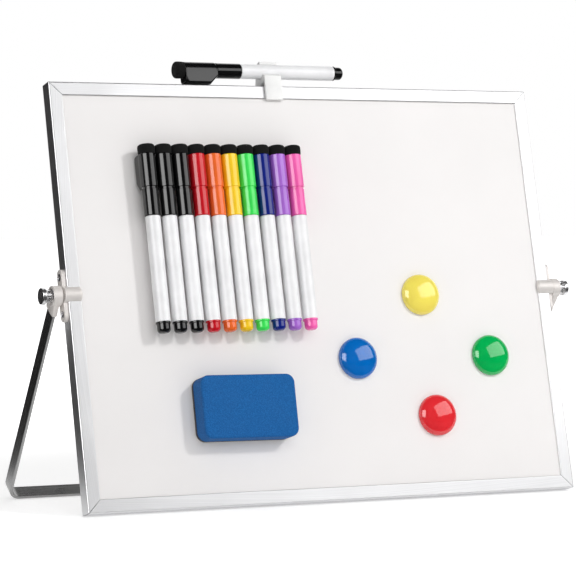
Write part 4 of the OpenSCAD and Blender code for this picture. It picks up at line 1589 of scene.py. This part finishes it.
    def magnet(self) -> Skin:
        """Bar magnet in the lug's face, a hair proud of it.

        Returns:
            The closed skin.
        """
        wide, long, thick = self.bar
        face = self.top_r + self.lug_h
        slope_end = self.end - self.lug_l + face - self.low_r
        skin = prism(oblong(wide, long, 0.5 * MM), -thick / 2, thick / 2, 0.2 * MM)
        shift = [0, (slope_end + self.end) / 2, thick / 2 - face - self.press_gap]
        return Datum(np.zeros(3), np.array([[1.0, 0, 0], [0, 0, 1.0], [0, -1.0, 0]])).put(
            Skin(skin.points + shift, skin.faces, skin.places))

    def build(self) -> None:
        """Builds the barrel, the core and the cap."""
        put, dressed = self.datum.put, self.wardrobe
        ink = dressed.inks[self.ink]
        make_piece(self.name + "_tube", [put(self.barrel())], [dressed.white], self.name,
                   (self.name + "_barrel",))
        make_piece(self.name + "_plug_and_nib", [put(s) for s in self.core()],
                   [ink, dressed.fibre, dressed.nibs[self.ink]], self.name, (self.name + "_core",))
        cap, pad, bar = self.cap(), self.pad(), self.magnet()
        pad.finish, bar.finish = 1, 2
        make_piece(self.name + "_cap_and_pad", [put(cap), put(pad), put(bar)],
                   [ink, dressed.pad, dressed.ferrite], self.name + "_cap", (self.name + "_cap",))


@dataclass
class RoundMagnet:
    """Moulded dome with a ferrite disc behind."""

    wardrobe: Wardrobe
    dome: Dome
    rim: float = 1.2 * MM
    disc_r: float = 9.5 * MM
    disc_t: float = 3 * MM
    edge: float = 0.3 * MM

    def shell(self, r: float, h: float) -> Skin:
        """Dome: a quarter ellipse above a straight rim, hollow behind for the disc.

        Args:
            r: its radius.
            h: its height.

        Returns:
            The closed skin, its back at height 0.
        """
        a = np.linspace(0, np.pi / 2, 33)
        crown = np.stack([r * np.cos(a), self.rim + (h - self.rim) * np.sin(a)], axis=1)
        crown[-1, 0] = 0.0
        hole = self.disc_r + 0.05 * MM
        foot = fillet([
            (0, self.disc_t + 0.1 * MM, 0), (hole, self.disc_t + 0.1 * MM, 0.2 * MM), (hole, 0, 0.2 * MM),
            (r, 0, self.edge), (r, self.rim * 0.8, 0)])
        return revolve(np.concatenate([foot, crown]), 96)

    def build(self) -> None:
        """Builds the dome and its disc."""
        name = "magnet_" + self.dome.name.lower()
        low, high = BOARD.span(name)
        middle = (low + high) / 2
        place = BOARD.to_model(np.array([middle[0], high[1], middle[2]]))
        datum = Datum(place, np.stack([RIGHT, UP, -BACK]))
        dome = self.shell((high[0] - low[0]) / 2, high[1] - low[1])
        disc = revolve(fillet([
            (0, 0.05 * MM, 0), (self.disc_r, 0.05 * MM, 0.3 * MM), (self.disc_r, self.disc_t, 0.3 * MM),
            (0, self.disc_t, 0)]), 64)
        disc.finish = 1
        make_piece(name + "_dome", [datum.put(dome), datum.put(disc)],
                   [self.wardrobe.domes[self.dome], self.wardrobe.ferrite], name,
                   (name,))


@dataclass
class BoardEraser:
    """Foam block on a felt sole, with a bar magnet between them."""

    wardrobe: Wardrobe
    corner: float = 5.8 * MM
    size: tuple = (66.5 * MM, 41 * MM)
    crown: float = 0.45 * MM
    edge: float = 1.4 * MM

    def __post_init__(self) -> None:
        """Finds the eraser's turned axes from the directions of its bar magnet."""
        low, high = BOARD.span("eraser_foam")
        felt_low, felt_high = BOARD.span("eraser_felt")
        self.depths = (low[1], felt_low[1], felt_high[1])
        bar = BOARD.to_own(node_points("eraser_magnet"))[:, [0, 2]]
        far = bar[np.argsort(bar[:, 0])]
        end_a, end_b = far[far[:, 0] < far[0, 0] + 1 * MM], far[far[:, 0] > far[-1, 0] - 1 * MM]
        along = (end_b.min(axis=0) + end_b.max(axis=0) - end_a.min(axis=0) - end_a.max(axis=0)) / 2
        turn = math.atan2(along[1], along[0])
        middle = (low + high) / 2
        own_right = math.cos(turn) * RIGHT + math.sin(turn) * UP
        axes = np.stack([own_right, np.cross(-BACK, own_right), -BACK])
        self.datum = Datum(BOARD.to_model(np.array([middle[0], 0.0, middle[2]])), axes)

    def foam(self) -> Skin:
        """Foam block with a soft rim and a crowned face.

        The rim climbs a quarter circle, then rings shrink to the middle by s while the face rises
        by crown (1 - s squared).

        Returns:
            The closed skin.
        """
        back, front = -self.depths[1], -self.depths[0] - self.crown
        outline = oblong(*self.size, self.corner, 10)
        side = np.linspace(0, 1, 9)
        quarter = np.linspace(0, np.pi / 2, 7)[1:]
        inset = np.concatenate([0 * side, self.edge * (1 - np.cos(quarter))])
        rise = np.concatenate([back + (front - self.edge - back) * side,
                               front - self.edge + self.edge * np.sin(quarter)])
        walls = outline[None] - inset[:, None, None] * outline_normals(outline)[None]
        share = np.linspace(1, 0, 14)[1:-1]
        flat = np.concatenate([walls, walls[-1][None] * share[:, None, None]])
        tall = np.concatenate([rise, front + self.crown * (1 - share**2)])
        return tube(lifted(flat, tall), None, [0, 0, front + self.crown])

    def build(self) -> None:
        """Builds the foam and the felt, and dresses the bar magnet's node."""
        foam = make_piece("foam_block", [self.datum.put(self.foam())], [self.wardrobe.foam], "eraser",
                          ("eraser_foam",))
        outline = oblong(*self.size, self.corner, 10)
        felt = prism(outline, -self.depths[2], -self.depths[1], 0.4 * MM)
        make_piece("felt_sole", [self.datum.put(felt)], [self.wardrobe.felt], "eraser",
                   ("eraser_felt",))
        dress("eraser_magnet", self.wardrobe.ferrite)


# ---------------------------------------------------------------- the studio


@dataclass
class Studio:
    """White floor and backdrop, two softboxes, a key, two fills, dark flags and the camera.

    The flags are dark sheets round the set that only reflections show: they paint dark reflections onto
    glossy faces and block no light.

    Attributes:
        camera_place: where the camera stands.
        camera_turn: its heading, to the right of straight ahead.
        camera_dip: how far it looks down.
        lens: its focal length in millimetres.
        aim: the point that the lamps face.
        reach: half width of the floor.
        flag_r: radius of the black tent.
        flag_turn: half of the angle that it takes up near the floor.
        flag_lift: height of the dark floor sheets above the floor.
        near_glow: share of its own light that the floor shows round the object, lower than far off, which
            paints shade round the object.
        ambient: strength of the air as a light.
    """

    camera_place: tuple = (-0.81027, -1.61459, 0.19494)
    camera_turn: float = math.radians(26.4216)
    camera_dip: float = math.radians(1.7791)
    lens: float = 168.7
    aim: tuple = (0.0, 0.0, 0.13)
    reach: float = 12.0
    flag_r: float = 2.6
    flag_turn: float = math.radians(115)
    flag_lift: float = 1.5 * MM
    near_glow: float = 0.34
    ambient: float = 0.45

    def camera(self) -> None:
        """Camera at the photograph's viewing angle."""
        data = bpy.data.cameras.new("camera")
        data.lens, data.sensor_width, data.clip_end = self.lens, 36.0, 50.0
        camera = bpy.data.objects.new("camera", data)
        camera.location = self.camera_place
        camera.rotation_euler = (math.pi / 2 - self.camera_dip, 0.0, -self.camera_turn)
        bpy.context.scene.collection.objects.link(camera)
        bpy.context.scene.camera = camera

    def lamp(self, name: str, turn: float, climb: float, distance: float, size: tuple,
             radiance: float, mirrored: bool = True, lights: bool = True) -> None:
        """A rectangular soft lamp that faces the object.

        Args:
            name: the lamp's name.
            turn: its direction from the object, in degrees to the right of the front.
            climb: its elevation in degrees.
            distance: how far off it stands.
            size: width and height.
            radiance: how bright its face is, where 1 is white.
            mirrored: whether reflections show it.
            lights: whether it lights matte surfaces too.
        """
        data = bpy.data.lights.new(name, "AREA")
        data.shape, data.size, data.size_y = "RECTANGLE", size[0], size[1]
        data.energy = 4 * size[0] * size[1] * radiance
        turn, climb = math.radians(turn), math.radians(climb)
        away = mathutils.Vector((math.sin(turn) * math.cos(climb), -math.cos(turn) * math.cos(climb),
                                 math.sin(climb)))
        lamp = bpy.data.objects.new(name, data)
        lamp.location = mathutils.Vector(self.aim) + away * distance
        lamp.rotation_euler = away.to_track_quat("Z", "Y").to_euler()
        lamp.visible_camera = False
        lamp.visible_glossy, lamp.visible_diffuse = mirrored, lights
        bpy.context.scene.collection.objects.link(lamp)

    def world(self) -> None:
        """World that is white where it is seen or mirrored, and softer where it only lights."""
        world = bpy.data.worlds.new("studio_air")
        world.use_nodes = True
        bpy.context.scene.world = world
        graph = Graph(world.node_tree)
        strength = graph.span(self.shown(graph), self.ambient, 1.0)
        graph.feed(world.node_tree.nodes["Background"], {"Color": (1.0,) * 4, "Strength": strength})

    def shown(self, graph: Graph) -> object:
        """A socket that is 1 for what the camera, a reflection or a clear piece shows.

        Args:
            graph: the graph to add the nodes to.

        Returns:
            The socket.
        """
        path = graph.add("LightPath").outputs
        seen = graph.math("MAXIMUM", path["Is Camera Ray"], path["Is Glossy Ray"])
        return graph.math("MAXIMUM", seen, path["Is Transmission Ray"])

    def stage_piece(self, name: str, points: list, faces: list, material: object) -> object:
        """A piece of the set.

        Args:
            name: its name.
            points: its corners.
            faces: its faces.
            material: its material.

        Returns:
            The new object.
        """
        mesh = bpy.data.meshes.new(name)
        mesh.from_pydata(points, [], faces)
        mesh.materials.append(material)
        piece = bpy.data.objects.new(name, mesh)
        bpy.context.scene.collection.objects.link(piece)
        return piece

    def flag(self, name: str, grid: np.ndarray, material: object) -> None:
        """A dark sheet which only reflections show: it paints dark reflections onto glossy faces, and
        neither lights, shades nor shows to the camera.

        Args:
            name: its name.
            grid: rows x columns x 3 array of its points.
            material: its material.
        """
        rows, cols = grid.shape[:2]
        here = (np.arange(rows - 1)[:, None] * cols + np.arange(cols - 1)[None, :]).ravel()
        faces = np.stack([here, here + 1, here + cols + 1, here + cols], axis=1)
        flag = self.stage_piece(name, grid.reshape(-1, 3).tolist(), faces.tolist(), material)
        flag.visible_camera = flag.visible_diffuse = flag.visible_shadow = False
        flag.visible_transmission = flag.visible_volume_scatter = False

    def tent(self) -> np.ndarray:
        """Points of the black tent: rows x columns of a sphere, open behind below, closed above.

        Returns:
            rows x columns x 3 array.
        """
        climb = np.radians(np.linspace(0.05, 89.9, 25))[:, None]
        closed = np.clip((climb - math.radians(42)) / math.radians(40), 0, 1)
        turn = np.linspace(-1, 1, 49)[None, :] * (self.flag_turn + (math.pi - self.flag_turn) * closed)
        flat = np.cos(climb) * self.flag_r
        return np.stack(np.broadcast_arrays(flat * np.sin(turn), -flat * np.cos(turn),
                                            self.flag_r * np.sin(climb)), axis=-1)

    def matte(self, name: str, tone: float) -> tuple:
        """A matte grey material, its graph and its shader.

        Args:
            name: the material's name.
            tone: its linear grey.

        Returns:
            The material, its graph and its shader.
        """
        material = bpy.data.materials.new(name)
        material.use_nodes = True
        graph, shader = Graph(material.node_tree), material.node_tree.nodes["Principled BSDF"]
        graph.feed(shader, {"Base Color": (tone, tone, tone, 1.0), "Roughness": 0.9})
        return material, graph, shader

    def floor_material(self) -> object:
        """White floor that keeps shadows: matte white plus a share of its own light where it is seen.

        That share is lower round the object, which paints the floor and its reflections darker there as
        painted shade, and grows outward to full, so that no horizon shows.

        Returns:
            The material.
        """
        material, graph, shader = self.matte("studio_floor", 0.95)
        place = graph.add("TexCoord").outputs["Object"]
        far = graph.add("VectorMath", {0: place}, operation="LENGTH").outputs["Value"]
        # less glow near the object: painted shade on the floor round it and in its reflections
        grown = {"Value": far, "From Min": 0.25, "From Max": 0.9, "To Min": self.near_glow, "To Max": 1.0}
        glow = graph.add("MapRange", grown, interpolation_type="SMOOTHSTEP").outputs["Result"]
        light = graph.math("MULTIPLY", self.shown(graph), glow)
        graph.feed(shader, {
            "Specular IOR Level": 0.0, "Emission Color": (1.0,) * 4, "Emission Strength": light})
        return material

    def build(self) -> None:
        """Sets up the floor, the flags, the lamps, the air and the camera."""
        bpy.context.scene.view_settings.view_transform = "Standard"
        far = self.reach
        corners = [(-far, -far, 0), (far, -far, 0), (far, far, 0), (-far, far, 0)]
        self.stage_piece("floor", corners, [(0, 1, 2, 3)], self.floor_material())
        # dark sheets seen only in reflections: painted dark reflections on the glossy pieces
        reflection_dark = self.matte("painted_dark_reflection", 0.02)[0]
        low = self.flag_lift
        left = np.array([(-0.9, -0.15), (-0.75, 0.45), (-0.1, 0.8)])
        wall = np.stack([np.c_[left, np.full(3, low)], np.c_[left, np.full(3, 1.0)]])
        front = np.array([[(-2.4, -2.4, low), (2.4, -2.4, low)], [(-2.4, -0.095, low), (2.4, -0.095, low)]])
        aside = np.array([[(-0.9, -0.095, low), (-0.24, -0.095, low)],
                          [(-0.75, 0.6, low), (-0.24, 0.75, low)]])
        self.flag("tent", self.tent(), reflection_dark)
        self.flag("left_flag", wall, reflection_dark)
        self.flag("front_reflection_sheet", front, reflection_dark)
        self.flag("left_reflection_sheet", aside, reflection_dark)
        self.lamp("right_box", 45, 27, 1.6, (1.6, 0.9), 2.1, lights=False)
        self.lamp("left_box", -56, 19, 1.6, (1.15, 0.85), 4.6, lights=False)
        self.lamp("key", 30, 33, 1.6, (0.18, 0.18), 54.0, mirrored=False)
        self.lamp("fill", -8, 24, 1.7, (1.2, 1.2), 1.15, mirrored=False)
        self.lamp("rear_fill", 165, 30, 1.8, (1.2, 1.2), 1.5, mirrored=False)
        self.world()
        self.camera()
        log.info("studio: floor, four flags, five lamps and the camera")


MARKERS = {
    "marker_black_1": Ink.BLACK, "marker_black_2": Ink.BLACK, "marker_black_3": Ink.BLACK,
    "marker_red": Ink.RED, "marker_orange": Ink.ORANGE, "marker_yellow": Ink.YELLOW,
    "marker_green": Ink.GREEN, "marker_blue": Ink.BLUE, "marker_purple": Ink.PURPLE,
    "marker_pink": Ink.PINK, "clip_marker": Ink.BLACK}


def main() -> None:
    """Builds the studio and the easel, sub-assembly by sub-assembly."""
    logging.basicConfig(level=logging.INFO, format="%(name)s: %(message)s")
    wardrobe = Wardrobe()
    Studio().build()
    Panel(wardrobe).build()
    hinges = [HingeSide(wardrobe, side) for side in Side]
    screws = [skin for hinge in hinges for skin in hinge.build()]
    make_piece("screw_heads", screws, [wardrobe.zinc], "board", ("bracket_screws",))
    Stand(wardrobe, hinges).build()
    PenClip(wardrobe).build()
    for name, ink in MARKERS.items():
        Marker(wardrobe, name, ink).build()
    for dome in Dome:
        RoundMagnet(wardrobe, dome).build()
    BoardEraser(wardrobe).build()


if __name__ == "__main__":
    main()
